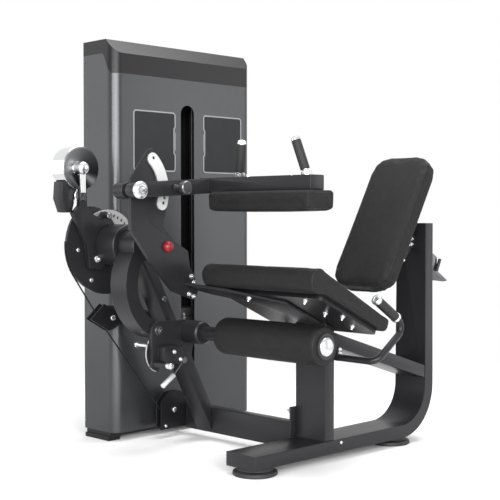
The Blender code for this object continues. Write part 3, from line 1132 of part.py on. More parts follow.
def make_backrest():
    lean = Matrix.Translation((SEAT_CENTRE, BACK_FACE_Y, BACK_FACE_Z)) @ Matrix.Rotation(BACK_LEAN, 4, "X")
    behind = lean @ Matrix.Translation((0, 0, -BACK_THICKNESS))
    crown = 0.006
    pad = cushion(BACK_WIDE, BACK_LONG, BACK_THICKNESS - crown, crown, BACK_CORNER, 0.003, BACK_EDGE)
    piece("back_pad", "backrest", "upholstery", placed(pad, behind))
    outline = rounded(BACK_WIDE - 0.050, BACK_LONG - 0.070, 0.040, 3)
    board = prism(outline, -BOARD - GAP, -GAP, along="z", edge=0.002)
    piece("back_board", "backrest", "black_paint", placed(board, behind))

    half = BACK_TUBE / 2
    corner = behind @ Vector((0, 0, -BOARD - 2 * GAP))
    slope = 1 / math.tan(BACK_LEAN)
    low = BACK_TUBE_Z - half
    high = BACK_TUBE_Z + half
    face = [(corner.y + (z - corner.z) * slope, z) for z in (low, high)]
    tube = [face[0], (BACK_TUBE_END, low), (BACK_TUBE_END, high), face[1]]
    plate_low = corner.z - 0.125
    plate_high = corner.z + 0.095
    gusset = [(corner.y + (z - corner.z) * slope, z) for z in (plate_low, plate_high)]
    gusset = [gusset[0], (gusset[0][0] + 0.014, plate_low), (face[0][0] + 0.085, BACK_TUBE_Z - 0.01),
              (gusset[1][0] + 0.014, plate_high), gusset[1]]
    rib = prism(gusset, SEAT_CENTRE - 0.008, SEAT_CENTRE + 0.008)
    piece("back_slide", "backrest", "frame_paint",
          prism(tube, SEAT_CENTRE - half, SEAT_CENTRE + half, edge=0.003), joined=[rib])

    radius = BACK_LEVER_Y - UPRIGHT_REAR - GAP
    start = (BACK_LEVER_Y, BACK_LEVER_Z)
    blade = [(-0.008, -0.020), (0.018, -0.080), (0.091, -0.088), (0.118, -0.085), (0.070, -0.056),
             (0.038, -0.040), (0.045, 0.012), (0.018, 0.030), (-0.008, 0.018)]
    blade = [(start[0] + y, start[1] + z) for y, z in blade]
    bush = cylinder((SEAT_CENTRE + 0.030, *start), (1, 0, 0), radius, 0.022, sides=20)
    piece("back_lever", "back_release", "steel",
          prism(blade, SEAT_CENTRE + 0.036, SEAT_CENTRE + 0.046, edge=0.001), joined=[bush])


def stand_on_origin():
    """Moves the machine so that the middle of its footprint is the origin and its feet are at height 0."""
    bpy.context.view_layer.update()
    graph = bpy.context.evaluated_depsgraph_get()
    corners = []
    for obj in bpy.context.scene.objects:
        if obj.type == "MESH" and not obj.hide_render:
            shown = obj.evaluated_get(graph)
            corners += [shown.matrix_world @ Vector(corner) for corner in shown.bound_box]
    low = Vector([min(p[i] for p in corners) for i in range(3)])
    high = Vector([max(p[i] for p in corners) for i in range(3)])
    PIVOTS["machine"][0].location = (-(low.x + high.x) / 2, -(low.y + high.y) / 2, -low.z)
    bpy.context.view_layer.update()
    size = high - low
    print(f"machine: {size.x:.3f} x {size.y:.3f} x {size.z:.3f} m")


def main():
    clear_scene()
    make_bodies()
    make_tower()
    make_weight_stack()
    make_pulleys()
    make_cable()
    make_floor_frame()
    make_lever()
    make_roller()
    make_thigh_hold()
    make_seat()
    make_backrest()
    stand_on_origin()


main()
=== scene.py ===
# %% [markdown]
# # A seated leg extension machine, dressed for a studio picture
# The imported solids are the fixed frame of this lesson. They already have the right sizes and
# joints, so everything here is about looks: paint, upholstery, chrome, fasteners, light and camera.
# Each piece that is added rides on one of the machine's bodies, so that it moves with it.

# %% The frame
import math

import bmesh
import bpy
import numpy as np
from mathutils import Matrix, Vector


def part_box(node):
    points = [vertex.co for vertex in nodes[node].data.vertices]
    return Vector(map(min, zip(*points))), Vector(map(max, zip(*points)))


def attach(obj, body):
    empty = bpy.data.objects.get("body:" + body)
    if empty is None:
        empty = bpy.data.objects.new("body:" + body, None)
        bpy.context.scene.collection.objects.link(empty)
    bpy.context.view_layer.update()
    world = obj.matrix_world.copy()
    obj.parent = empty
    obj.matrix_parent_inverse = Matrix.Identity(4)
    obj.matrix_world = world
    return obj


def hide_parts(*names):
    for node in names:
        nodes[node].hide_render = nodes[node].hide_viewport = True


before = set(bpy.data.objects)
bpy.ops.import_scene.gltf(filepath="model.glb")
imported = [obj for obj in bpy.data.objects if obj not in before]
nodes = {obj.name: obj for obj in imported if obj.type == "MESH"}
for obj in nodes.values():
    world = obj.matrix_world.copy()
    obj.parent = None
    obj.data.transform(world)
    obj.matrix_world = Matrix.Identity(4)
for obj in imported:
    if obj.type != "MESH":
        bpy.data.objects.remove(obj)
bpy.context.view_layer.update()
sheet_low, sheet_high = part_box("tower_shroud")
LAYOUT = Vector((sheet_high.x, sheet_low.y, 0))


def spot(x, y, z):
    """A point of the machine's layout: x from the tower's front sheet, y from its near side, z from the floor."""
    return LAYOUT + Vector((x, y, z))


print("nodes", len(nodes), "layout origin", tuple(round(c, 4) for c in LAYOUT))

# %% [markdown]
# ## Camera
# The photograph was taken with a long lens from the front right, a little above the thigh pad.
# A long lens keeps upright edges nearly parallel. The place and the angles below came from fitting
# the straight edges of tower and floor frame, so the picture lines up without any shift.

# %% Camera
camera_data = bpy.data.cameras.new("studio_camera")
camera_data.sensor_width = 36
camera_data.lens = 78.97
camera = bpy.data.objects.new("studio_camera", camera_data)
bpy.context.scene.collection.objects.link(camera)
camera.location = spot(3.4625, -2.6801, 0.9053)
camera.rotation_euler = (math.radians(90 - 1.8143), 0, math.radians(45.1955))
bpy.context.scene.camera = camera
print("camera at", tuple(round(c, 3) for c in camera.location))

# %% [markdown]
# ## Shader expressions
# A finish is easier to read as arithmetic than as a web of nodes. The small class below wraps a
# node's output, and Python's own operators add the Math nodes, so `1 - mask` does what it says.
# Every other node comes from one method: its type, its settings, then the values of its sockets.


# %% Shader expressions
class Signal:
    """One number that changes over a surface."""

    def __init__(self, tree, socket):
        self.tree = tree
        self.socket = socket

    def maths(self, operation, *values):
        node = self.tree.nodes.new("ShaderNodeMath")
        node.operation = operation
        for socket, value in zip(node.inputs, values):
            feed(self.tree, socket, value)
        return Signal(self.tree, node.outputs[0])

    def __add__(self, other):
        return self.maths("ADD", self, other)

    def __radd__(self, other):
        return self.maths("ADD", other, self)

    def __sub__(self, other):
        return self.maths("SUBTRACT", self, other)

    def __rsub__(self, other):
        return self.maths("SUBTRACT", other, self)

    def __mul__(self, other):
        return self.maths("MULTIPLY", self, other)

    def __rmul__(self, other):
        return self.maths("MULTIPLY", other, self)

    def __truediv__(self, other):
        return self.maths("DIVIDE", self, other)

    def __rtruediv__(self, other):
        return self.maths("DIVIDE", other, self)

    def __pow__(self, other):
        return self.maths("POWER", self, other)

    def above(self, edge):
        return self.maths("GREATER_THAN", self, edge)

    def below(self, edge):
        return self.maths("LESS_THAN", self, edge)

    def within(self, low=0.0, high=1.0):
        return self.maths("MAXIMUM", self.maths("MINIMUM", self, high), low)


def feed(tree, socket, value):
    if isinstance(value, Signal):
        tree.links.new(value.socket, socket)
    else:
        socket.default_value = value


class Finish:
    """One material: a Principled shader and the nodes that vary it."""

    def __init__(self, name, **constants):
        self.material = bpy.data.materials.new(name)
        self.material.use_nodes = True
        self.tree = self.material.node_tree
        self.shader = self.tree.nodes["Principled BSDF"]
        self.vary(**constants)
        self.place = self.node("ShaderNodeTexCoord", out="Object")

    def node(self, kind, settings=None, sockets=None, out=0):
        node = self.tree.nodes.new(kind)
        for key, value in (settings or {}).items():
            if key == "stops":
                ramp = node.color_ramp
                while len(ramp.elements) < len(value):
                    ramp.elements.new(0.5)
                for element, (position, colour) in zip(ramp.elements, value):
                    element.position = position
                    element.color = colour
            else:
                setattr(node, key, value)
        for key, value in (sockets or {}).items():
            feed(self.tree, node.inputs[key], value)
        return Signal(self.tree, node.outputs[out])

    def vary(self, **inputs):
        for key, value in inputs.items():
            feed(self.tree, self.shader.inputs[key.replace("_", " ")], value)

    def noise(self, scale, detail=2.0, place=None, roughness=0.5):
        sockets = {"Vector": place or self.place, "Scale": scale, "Detail": detail, "Roughness": roughness}
        return self.node("ShaderNodeTexNoise", None, sockets, "Fac")

    def cells(self, scale, feature="DISTANCE_TO_EDGE", place=None):
        return self.node("ShaderNodeTexVoronoi", {"feature": feature},
                         {"Vector": place or self.place, "Scale": scale}, "Distance")

    def stretched(self, x, y, z):
        return self.node("ShaderNodeMapping", None, {"Vector": self.place, "Scale": (x, y, z)})

    def between(self, amount, low, high):
        """A colour between two others."""
        return self.node("ShaderNodeMix", {"data_type": "RGBA"},
                         {"Factor": amount, 6: (*low, 1), 7: (*high, 1)}, 2)

    def bump(self, height, distance, strength=1.0, edge=0.0):
        """A relief on the surface; an edge radius also softens the light along sharp edges."""
        sockets = {"Height": height, "Distance": distance, "Strength": strength}
        if edge:
            sockets["Normal"] = self.node("ShaderNodeBevel", {"samples": 6}, {"Radius": edge})
        self.vary(Normal=self.node("ShaderNodeBump", None, sockets))

    def upward(self):
        """How far a surface faces up, from -1 to 1."""
        normal = self.node("ShaderNodeNewGeometry", out="Normal")
        return self.node("ShaderNodeSeparateXYZ", None, {"Vector": normal}, "Z")


def shade(colour, factor):
    return tuple(min(c * factor, 1) for c in colour)


# %% [markdown]
# ## Finishes
# The sheet metal is powder coated: a fine orange-peel surface with tiny metallic flecks that
# catch the light. The upholstery is grained vinyl, the bright parts are chrome or zinc plate.
# Each finish is procedural and is laid out in metres, so a fleck or a grain has its real size.


# %% Paint
def powder_coat(name, colour, roughness, metallic, fleck, gloss=0.25):
    paint = Finish(name, Metallic=metallic, Specular_IOR_Level=gloss)
    grit = paint.noise(2600, 1)
    peel = paint.noise(620, 2)
    haze = paint.noise(3.5, 3)
    sparkle = ((grit - 0.56) * 5).within() * fleck
    tone = (haze * 0.35 + peel * 0.25 + sparkle).within()
    paint.vary(Base_Color=paint.between(tone, shade(colour, 0.82), shade(colour, 1.55)))
    paint.vary(Roughness=(roughness - 0.07 + haze * 0.10 + peel * 0.05).within(0.05, 1))
    paint.bump(peel * 0.7 + grit * 0.3, 0.00012, 0.5, edge=0.0016)
    return paint.material


tower_paint = powder_coat("tower_paint", (0.053, 0.054, 0.0565), 0.29, 0.75, 0.8, 0.32)
cap_paint = powder_coat("cap_paint", (0.012, 0.012, 0.013), 0.34, 0.30, 0.4)
frame_paint = powder_coat("frame_coat", (0.019, 0.019, 0.021), 0.34, 0.40, 0.6)
bracket_paint = powder_coat("bracket_paint", (0.016, 0.016, 0.018), 0.34, 0.35, 0.5)
black_coat_and_painted_shade = powder_coat("black_coat_and_rod_shade", (0.008, 0.008, 0.009), 0.36, 0.20, 0.3)
print("paints made")


# %% Upholstery, rubber and plastic
def grained_vinyl(name, colour):
    vinyl = Finish(name, Specular_IOR_Level=0.12)
    warped = vinyl.noise(160, 2)
    creases = vinyl.cells(780)
    pores = vinyl.noise(2400, 2)
    broad = vinyl.noise(9, 3)
    grain = ((creases * 9).within() * 0.7 + pores * 0.3)
    mottle = ((vinyl.noise(55, 4, roughness=0.7) - 0.5) * 2.6 + 0.5).within()
    tone = (grain * 0.30 + broad * 0.25 + mottle * 0.45).within()
    vinyl.vary(Base_Color=vinyl.between(tone, shade(colour, 0.45), shade(colour, 1.8)))
    vinyl.vary(Roughness=(0.50 + broad * 0.14 - grain * 0.08).within())
    vinyl.bump(grain + warped * 0.6, 0.00030, 0.85)
    return vinyl.material


def moulded(name, colour, roughness, scale, depth, gloss=0.3):
    plastic = Finish(name, Specular_IOR_Level=gloss)
    grain = plastic.noise(scale, 2)
    broad = plastic.noise(18, 2)
    plastic.vary(Base_Color=plastic.between((grain * 0.5 + broad * 0.5).within(), shade(colour, 0.7), shade(colour, 1.4)))
    plastic.vary(Roughness=(roughness - 0.06 + broad * 0.12).within())
    plastic.bump(grain, depth, 0.6)
    return plastic.material


pad_vinyl = grained_vinyl("pad_vinyl", (0.0088, 0.0088, 0.0092))
grip_rubber = moulded("grip_rubber", (0.012, 0.012, 0.0125), 0.62, 1500, 0.0002)
foot_rubber = moulded("foot_rubber", (0.013, 0.013, 0.014), 0.55, 900, 0.0002)
end_plastic = moulded("end_plastic", (0.014, 0.014, 0.015), 0.42, 1200, 0.0001)
sheave_nylon = moulded("sheave_nylon", (0.018, 0.018, 0.019), 0.45, 1400, 0.0001)
cable_jacket = moulded("cable_jacket", (0.009, 0.009, 0.010), 0.60, 700, 0.0001, 0.1)
red_plastic = moulded("red_moulding", (0.17, 0.009, 0.015), 0.22, 500, 0.00004)


# %% Metals
def bright_metal(name, colour, roughness, smear, stretch, metallic=1.0):
    metal = Finish(name, Metallic=metallic)
    lines = metal.noise(60, 3, metal.stretched(*stretch))
    film = metal.noise(14, 3)
    metal.vary(Base_Color=metal.between((lines * 0.5 + film * 0.5).within(), shade(colour, 0.86), shade(colour, 1.06)))
    metal.vary(Roughness=(roughness + (film - 0.5) * smear + (lines - 0.5) * smear * 0.8).within(0.02, 1))
    metal.bump(lines, 0.00001, 0.2, edge=0.0010)
    return metal.material


chrome = bright_metal("chrome_plate", (0.60, 0.61, 0.62), 0.21, 0.03, (1, 1, 1), 0.9)
zinc_plate = bright_metal("zinc_plate", (0.72, 0.73, 0.74), 0.34, 0.14, (1, 12, 1))
satin_plate = bright_metal("satin_plate", (0.60, 0.60, 0.60), 0.42, 0.12, (1, 8, 1), 0.55)
grey_plate = bright_metal("grey_plate", (0.36, 0.36, 0.36), 0.45, 0.12, (1, 8, 1), 0.55)
dark_steel = bright_metal("dark_steel", (0.14, 0.14, 0.15), 0.34, 0.14, (14, 1, 1))


def reflection_painted_chrome(name, centre, face):
    """Chrome with its reflection painted in: the dished face is painted near black as a dark reflection, with a lighter
    fan and a highlight streak painted on it; the lathe rings change only its roughness.
    """
    metal = Finish(name, Metallic=1.0)
    parts = {axis: metal.node("ShaderNodeSeparateXYZ", None, {"Vector": metal.place}, axis) for axis in "XYZ"}
    turn = (parts["Z"] - centre.z).maths("ARCTAN2", parts["Z"] - centre.z, parts["Y"] - centre.y)
    reach = ((parts["Y"] - centre.y) ** 2 + (parts["Z"] - centre.z) ** 2) ** 0.5
    rings = (reach * 900).maths("SINE", reach * 900) * 0.5 + 0.5
    lean = turn - math.radians(135)
    painted_reflection_fan = lean.maths("COSINE", lean) * 0.5 + 0.5
    painted_highlight_streak = (turn + math.radians(42)).maths("COSINE", turn + math.radians(42)).within() ** 40
    dished = reach.above(0.0245) * reach.below(0.0815) * parts["X"].above(centre.x + face)
    dished = dished * parts["X"].below(centre.x + 0.0964)
    # Painted reflection: the dished face is near black, lighter across a painted fan and along a painted highlight
    # streak.
    painted_dark_reflection = (dished * (1.0 - painted_reflection_fan ** 2 * 0.28 - painted_highlight_streak * 0.2)).within()
    metal.vary(Base_Color=metal.between(painted_dark_reflection, (0.76, 0.77, 0.78), (0.010, 0.010, 0.011)))
    metal.vary(Roughness=(0.14 + dished * 0.22 + rings * dished * 0.06).within())
    return metal.material


drum_middle = nodes["counterweight_drum"].matrix_world.inverted() @ spot(0, -0.227, 1.082)
drum_chrome_painted_reflection = reflection_painted_chrome("drum_chrome_painted_reflection", drum_middle, 0.070)


def casting(name, colour):
    iron = Finish(name, Metallic=0.2)
    lumps = iron.noise(420, 3)
    broad = iron.noise(12, 3)
    iron.vary(Base_Color=iron.between((lumps * 0.5 + broad * 0.5).within(), shade(colour, 0.7), shade(colour, 1.5)))
    iron.vary(Roughness=(0.48 + lumps * 0.2).within())
    iron.bump(lumps, 0.0003, 0.6)
    return iron.material


plate_iron = casting("plate_iron", (0.016, 0.016, 0.017))
seam_thread = moulded("seam_thread", (0.009, 0.009, 0.0095), 0.55, 2200, 0.0002)
placard_face = moulded("placard_face", (0.018, 0.0185, 0.020), 0.50, 1100, 0.00004, 0.12)
placard_rim = moulded("placard_rim", (0.20, 0.20, 0.205), 0.42, 1100, 0.00004)
scale_white = moulded("scale_white", (0.62, 0.62, 0.60), 0.45, 900, 0.00003)
print("finishes", len(bpy.data.materials))

# %% [markdown]
# ## Finishes on the imported solids
# Every solid that stays in view gets the finish of the real piece, except that the guide rods get the black coat as
# painted shade and the drum has its reflection painted in. The list is grouped by finish.

# %% Finishes on the imported solids
WEAR = {
    tower_paint: ["tower_shroud", "tower_back"],
    cap_paint: ["tower_cap"],
    frame_paint: ["runner_frame", "seat_post", "incline_tube", "cross_beam", "oblique_post", "lever_arm",
                  "thigh_arm", "seat_frame", "back_slide", "seat_handle_near", "seat_handle_far"],
    bracket_paint: ["thigh_bracket", "cam_disc", "counterweight_arm", "counterweight_block", "roller_bracket",
                    "roller_shaft"],
    black_coat_and_painted_shade: ["tower_base", "tower_top_beam", "pulley_low_bracket", "pulley_base_bracket", "seat_base", "back_board",
                  # The guide rods wear the black coat as painted shade, for the dark inside of the tower.
                  "guide_rod_near", "guide_rod_far"],
    pad_vinyl: ["seat_pad", "back_pad", "thigh_pad", "roller_foam"],
    grip_rubber: ["thigh_grip_near", "thigh_grip_far", "seat_grip_near", "seat_grip_far"],
    foot_rubber: ["foot_front", "foot_rear"],
    sheave_nylon: ["pulley_low", "pulley_base", "pulley_turn", "pulley_inner", "pulley_top"],
    cable_jacket: ["cable"],
    red_plastic: ["knee_axis_knob", "selector_pin"],
    drum_chrome_painted_reflection: ["counterweight_drum"],
    chrome: ["thigh_pivot_pin", "thigh_handle_near", "thigh_handle_far"],
    satin_plate: ["sector_plate"],
    grey_plate: ["selector_plate"],
    dark_steel: ["main_shaft", "thigh_pin", "back_lever", "start_pin", "roller_catch_lever"],
    plate_iron: ["weights_resting", "weights_lifted", "weight_head"],
}


def smooth_with_edges(mesh, degrees=35):
    mesh.shade_smooth()
    mesh.set_sharp_from_angle(angle=math.radians(degrees))


for finish, names in WEAR.items():
    for name in names:
        node = nodes[name]
        node.data.materials.clear()
        node.data.materials.append(finish)
unpainted = sorted(set(nodes) - {name for names in WEAR.values() for name in names})
print("solids without a finish:", unpainted)

# %% [markdown]
# ## A kit for the added pieces
# Small parts are lofted from rings of points. `ring_stack` joins rings into a closed skin, `spun`
# turns a profile round an axis, and `extruded` gives an outline some thickness. `add` finishes a
# piece: smooth shading, its material, and the body that it rides on.


def ring_stack(shape, rings, capped=True, looped=False):
    rows = [[shape.verts.new(point) for point in ring] for ring in rings]
    count = len(rows[0])
    pairs = list(zip(rows, rows[1:])) + ([(rows[-1], rows[0])] if looped else [])
    for low, high in pairs:
        for i in range(count):
            j = (i + 1) % count
            shape.faces.new((low[i], low[j], high[j], high[i]))
    if capped and not looped:
        shape.faces.new(rows[0])
        shape.faces.new(rows[-1])


def square_to(axis):
    axis = Vector(axis).normalized()
    helper = Vector((0, 0, 1)) if abs(axis.z) < 0.9 else Vector((0, 1, 0))
    side = helper.cross(axis).normalized()
    return axis, side, axis.cross(side)


def spun(shape, profile, place, axis, sides=28, looped=False):
    """Rings of (radius, distance along the axis), from a point outwards."""
    axis, side, other = square_to(axis)
    turns = [2 * math.pi * k / sides for k in range(sides)]
    rings = []
    for radius, along in profile:
        centre = Vector(place) + axis * along
        rings.append([centre + (side * math.cos(t) + other * math.sin(t)) * radius for t in turns])
    ring_stack(shape, rings, looped=looped)


def extruded(shape, outline, low, high, along="x", edge=0.0):
    """An outline in layout coordinates, given thickness along one axis, with softened rims."""
    order = {"x": lambda a, p, q: spot(a, p, q), "y": lambda a, p, q: spot(p, a, q),
             "z": lambda a, p, q: spot(p, q, a)}[along]
    if edge:
        inner = inset(outline, edge)
        levels = [(low, inner), (low + edge, outline), (high - edge, outline), (high, inner)]
    else:
        levels = [(low, outline), (high, outline)]
    ring_stack(shape, [[order(level, p, q) for p, q in points] for level, points in levels])


def inset(outline, distance):
    """An outline moved inwards; it may run either way round."""
    count = len(outline)
    area = sum(p[0] * q[1] - q[0] * p[1] for p, q in zip(outline, outline[1:] + outline[:1]))
    turn = math.copysign(distance, area)
    moved = []
    for i, (x, y) in enumerate(outline):
        ahead = Vector(outline[(i + 1) % count]) - Vector((x, y))
        behind = Vector((x, y)) - Vector(outline[i - 1])
        a = Vector((-ahead.y, ahead.x)).normalized()
        b = Vector((-behind.y, behind.x)).normalized()
        mean = (a + b).normalized()
        stretch = 1 / max(mean.dot(a), 0.5)
        moved.append((x + mean.x * turn * stretch, y + mean.y * turn * stretch))
    return moved


def rounded(centre, width, depth, radius, steps=5):
    a, b = width / 2 - radius, depth / 2 - radius
    corners = ((a, b, 0), (-a, b, 90), (-a, -b, 180), (a, -b, 270))
    return [(centre[0] + x + radius * math.cos(math.radians(turn + 90 * k / steps)),
             centre[1] + y + radius * math.sin(math.radians(turn + 90 * k / steps)))
            for x, y, turn in corners for k in range(steps + 1)]


def add(name, shape, finish, body, degrees=35):
    bmesh.ops.recalc_face_normals(shape, faces=shape.faces)
    mesh = bpy.data.meshes.new(name)
    shape.to_mesh(mesh)
    shape.free()
    smooth_with_edges(mesh, degrees)
    mesh.materials.append(finish)
    piece = bpy.data.objects.new(name, mesh)
    bpy.context.scene.collection.objects.link(piece)
    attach(piece, body)
    return piece


print("kit ready")

# %% [markdown]
# ## Upholstery
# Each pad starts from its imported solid, drawn in by a few millimetres. It is remeshed evenly and
# blown up like a cushion by a short cloth simulation, with its flat back held still, so the faces
# swell a little between the edges as foam under vinyl does. The seams are then sewn on top.

# %% Stuffed pads
from mathutils.bvhtree import BVHTree


def remeshed(mesh, voxel):
    piece = bpy.data.objects.new("remesh", mesh)
    bpy.context.scene.collection.objects.link(piece)
    remesh = piece.modifiers.new("remesh", "REMESH")
    remesh.mode = "VOXEL"
    remesh.voxel_size = voxel
    graph = bpy.context.evaluated_depsgraph_get()
    even = bpy.data.meshes.new_from_object(piece.evaluated_get(graph))
    bpy.data.objects.remove(piece)
    return even


def swollen(mesh, held, cap):
    """The mesh after a short cloth run under pressure; no point moves further than the cap."""
    piece = bpy.data.objects.new("swell", mesh)
    bpy.context.scene.collection.objects.link(piece)
    group = piece.vertex_groups.new(name="held")
    group.add([v.index for v in mesh.vertices if held(v.co, v.normal)], 1.0, "ADD")
    cloth = piece.modifiers.new("cloth", "CLOTH")
    cloth.settings.quality = 4
    cloth.settings.use_pressure = True
    cloth.settings.uniform_pressure_force = 4.0
    cloth.settings.effector_weights.gravity = 0.0
    cloth.settings.vertex_group_mass = "held"
    cloth.collision_settings.use_collision = False
    cloth.point_cache.frame_start = 1
    cloth.point_cache.frame_end = 20
    scene = bpy.context.scene
    for step in range(1, 21):
        scene.frame_set(step)
    graph = bpy.context.evaluated_depsgraph_get()
    result = bpy.data.meshes.new_from_object(piece.evaluated_get(graph))
    start = np.empty(len(mesh.vertices) * 3)
    end = np.empty(len(result.vertices) * 3)
    mesh.vertices.foreach_get("co", start)
    result.vertices.foreach_get("co", end)
    move = (end - start).reshape(-1, 3)
    length = np.linalg.norm(move, axis=1, keepdims=True)
    move *= np.minimum(1.0, cap / np.maximum(length, 1e-9))
    result.vertices.foreach_set("co", (start.reshape(-1, 3) + move).ravel())
    scene.frame_set(1)
    bpy.data.objects.remove(piece)
    print("swelled by up to", round(float(min(length.max(), cap)) * 1000, 1), "mm")
    return result


def stuffed(name, node, body, held, shrink, cap, voxel):
    mesh = remeshed(nodes[node].data.copy(), voxel)
    offsets = [v.normal * (0 if held(v.co, v.normal) else shrink) for v in mesh.vertices]
    for vertex, offset in zip(mesh.vertices, offsets):
        vertex.co -= offset
    mesh = swollen(mesh, held, cap)
    mesh.shade_smooth()
    mesh.materials.clear()
    mesh.materials.append(pad_vinyl)
    pad = bpy.data.objects.new(name, mesh)
    bpy.context.scene.collection.objects.link(pad)
    subdivision = pad.modifiers.new("smooth", "SUBSURF")
    subdivision.levels = 1
    subdivision.render_levels = 1
    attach(pad, body)
    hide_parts(node)
    return pad


SEAT_FALL = math.radians(24.9)
SEAT_DOWN = Vector((0, -math.sin(SEAT_FALL), -math.cos(SEAT_FALL)))
BACK_LEAN = math.radians(59.6)
BACK_REAR = Vector((0, math.sin(BACK_LEAN), -math.cos(BACK_LEAN)))
ROLLER_AXIS = spot(0, 0.108, 0.461)


def on_roller_core(place, normal):
    out = math.hypot(place.y - ROLLER_AXIS.y, place.z - ROLLER_AXIS.z)
    return out < 0.040 or (abs(normal.x) > 0.8 and out < 0.05)


seat = stuffed("seat_cushion", "seat_pad", "frame", lambda p, n: n.dot(SEAT_DOWN) > 0.9, 0.002, 0.004, 0.006)
back = stuffed("back_cushion", "back_pad", "backrest", lambda p, n: n.dot(BACK_REAR) > 0.9, 0.002, 0.004, 0.006)
thigh = stuffed("thigh_cushion", "thigh_pad", "thigh_hold", lambda p, n: n.z > 0.9, 0.002, 0.0035, 0.005)
roller = stuffed("roller_cushion", "roller_foam", "roller", on_roller_core, 0.0015, 0.0025, 0.005)
print("pads stuffed")

# %% [markdown]
# ### Seams
# A seam is a thin raised line of thread and folded vinyl. Its path is drawn roughly round the pad
# and then laid onto the swollen surface, point by point.


# %% Seams
def seam(name, pad, body, path, radius=0.0011, sides=6):
    tree = BVHTree.FromObject(pad, bpy.context.evaluated_depsgraph_get())
    points = []
    for point in path:
        place, normal = tree.find_nearest(Vector(point))[:2]
        points.append(place - normal * radius * 0.35)
    rings = []
    count = len(points)
    for i, point in enumerate(points):
        axis, side, other = square_to(points[(i + 1) % count] - points[i - 1])
        if rings:
            side = (last - axis * last.dot(axis)).normalized()
            other = axis.cross(side)
        last = side
        turns = [2 * math.pi * k / sides for k in range(sides)]
        rings.append([point + (side * math.cos(t) + other * math.sin(t)) * radius for t in turns])
    shape = bmesh.new()
    ring_stack(shape, rings, looped=True)
    add(name, shape, seam_thread, body, 60)


def refined(points, spacing=0.006):
    """A closed path with points no further apart than the spacing."""
    dense = []
    for here, there in zip(points, points[1:] + points[:1]):
        here, there = Vector(here), Vector(there)
        steps = max(1, int((there - here).length / spacing))
        dense += [here.lerp(there, k / steps) for k in range(steps)]
    return dense


def seat_point(x, along, lift):
    return spot(x, 0.2107, 0.5791) + Vector((0, math.cos(SEAT_FALL), -math.sin(SEAT_FALL))) * along - SEAT_DOWN * lift


def circle(centre, radius, start, end, steps):
    turns = [math.radians(start + (end - start) * k / steps) for k in range(steps + 1)]
    return [(centre[0] + radius * math.cos(t), centre[1] + radius * math.sin(t)) for t in turns]


profile = circle((0.207, 0.015), 0.015, 270, 360, 4) + circle((0.207, 0.0345), 0.015, 0, 87, 4)
profile += circle((-0.191, 0.030), 0.044, 87, 290, 14) + [(-0.147, 0.0)]
for label, x in (("near", 0.4985), ("far", 1.0455)):
    seam(f"seat_seam_{label}", seat, "frame", refined([seat_point(x, u, w) for u, w in profile]))


def back_point(x, along, lift):
    up = Vector((0, math.cos(BACK_LEAN), math.sin(BACK_LEAN)))
    return spot(0.772 + x, 0.7053, 0.8927) + up * along + BACK_REAR * -lift


for label, inward, lift in (("front", 0.006, -0.006), ("rear", 0.001, -0.050)):
    ring = rounded((0, 0), 0.290 - 2 * inward, 0.598 - 2 * inward, 0.080 - inward, 8)
    seam(f"back_seam_{label}", back, "backrest", refined([back_point(x, y, lift) for x, y in ring]))
for label, inward, z in (("low", 0.005, 0.924), ("high", 0.0, 0.984)):
    ring = rounded((0.772, 0.0865), 0.500 - 2 * inward, 0.140 - 2 * inward, 0.014, 5)
    seam(f"thigh_seam_{label}", thigh, "thigh_hold", refined([spot(x, y, z) for x, y in ring]))
for label, x in (("near", 0.5275), ("far", 1.0155)):
    ring = circle((0.108, 0.461), 0.064, 0, 360, 72)[:-1]
    seam(f"roller_seam_{label}", roller, "roller", [spot(x, y, z) for y, z in ring])
print("seams sewn")

# %% [markdown]
# ## Fasteners
# Socket screws have a domed head with a sunk hexagon. Hexagon bolts stand on a washer, and some
# show the end of their stud. All fasteners of one body and one finish are one piece.


# %% Fasteners
def socket_screw(shape, place, axis, radius):
    axis, side, other = square_to(axis)
    place = Vector(place)
    spun(shape, [(radius, -0.0003), (radius, 0.34 * radius), (0.92 * radius, 0.52 * radius),
                 (0.70 * radius, 0.66 * radius), (0.50 * radius, 0.70 * radius)], place, axis, 24)
    deep = [(0.44, 0.705), (0.44, 0.40)]
    turns = [math.pi * k / 3 for k in range(6)]
    rings = [[place + axis * (h * radius) + (side * math.cos(t) + other * math.sin(t)) * (r * radius) for t in turns]
             for r, h in deep]
    ring_stack(shape, rings)


def hex_bolt(shape, place, axis, across, stud=0.0):
    axis, side, other = square_to(axis)
    place = Vector(place)
    half = across / 2
    spun(shape, [(half * 1.45, -0.0003), (half * 1.45, half * 0.20), (half * 1.38, half * 0.26)], place, axis, 28)
    turns = [math.pi * k / 3 for k in range(6)]
    corner = half / math.cos(math.pi / 6)
    levels = [(corner, 0.26), (corner, 1.05), (corner * 0.90, 1.18)]
    rings = [[place + axis * (h * half) + (side * math.cos(t) + other * math.sin(t)) * r for t in turns]
             for r, h in levels]
    ring_stack(shape, rings)
    if stud:
        spun(shape, [(half * 0.52, half), (half * 0.52, half + stud), (half * 0.44, half + stud + 0.0012)],
             place, axis, 20)


def fasten(name, body, finish, screws=(), bolts=()):
    shape = bmesh.new()
    for place, axis, radius in screws:
        socket_screw(shape, spot(*place), axis, radius)
    for place, axis, across, stud in bolts:
        hex_bolt(shape, spot(*place), axis, across, stud)
    add(name, shape, finish, body, 30)


def under_board(y, below=0.0):
    """The height of the seat board's underside, or of a plate below it."""
    return 0.5791 - (y - 0.2107) * math.tan(SEAT_FALL) - (0.0161 + below) / math.cos(SEAT_FALL)


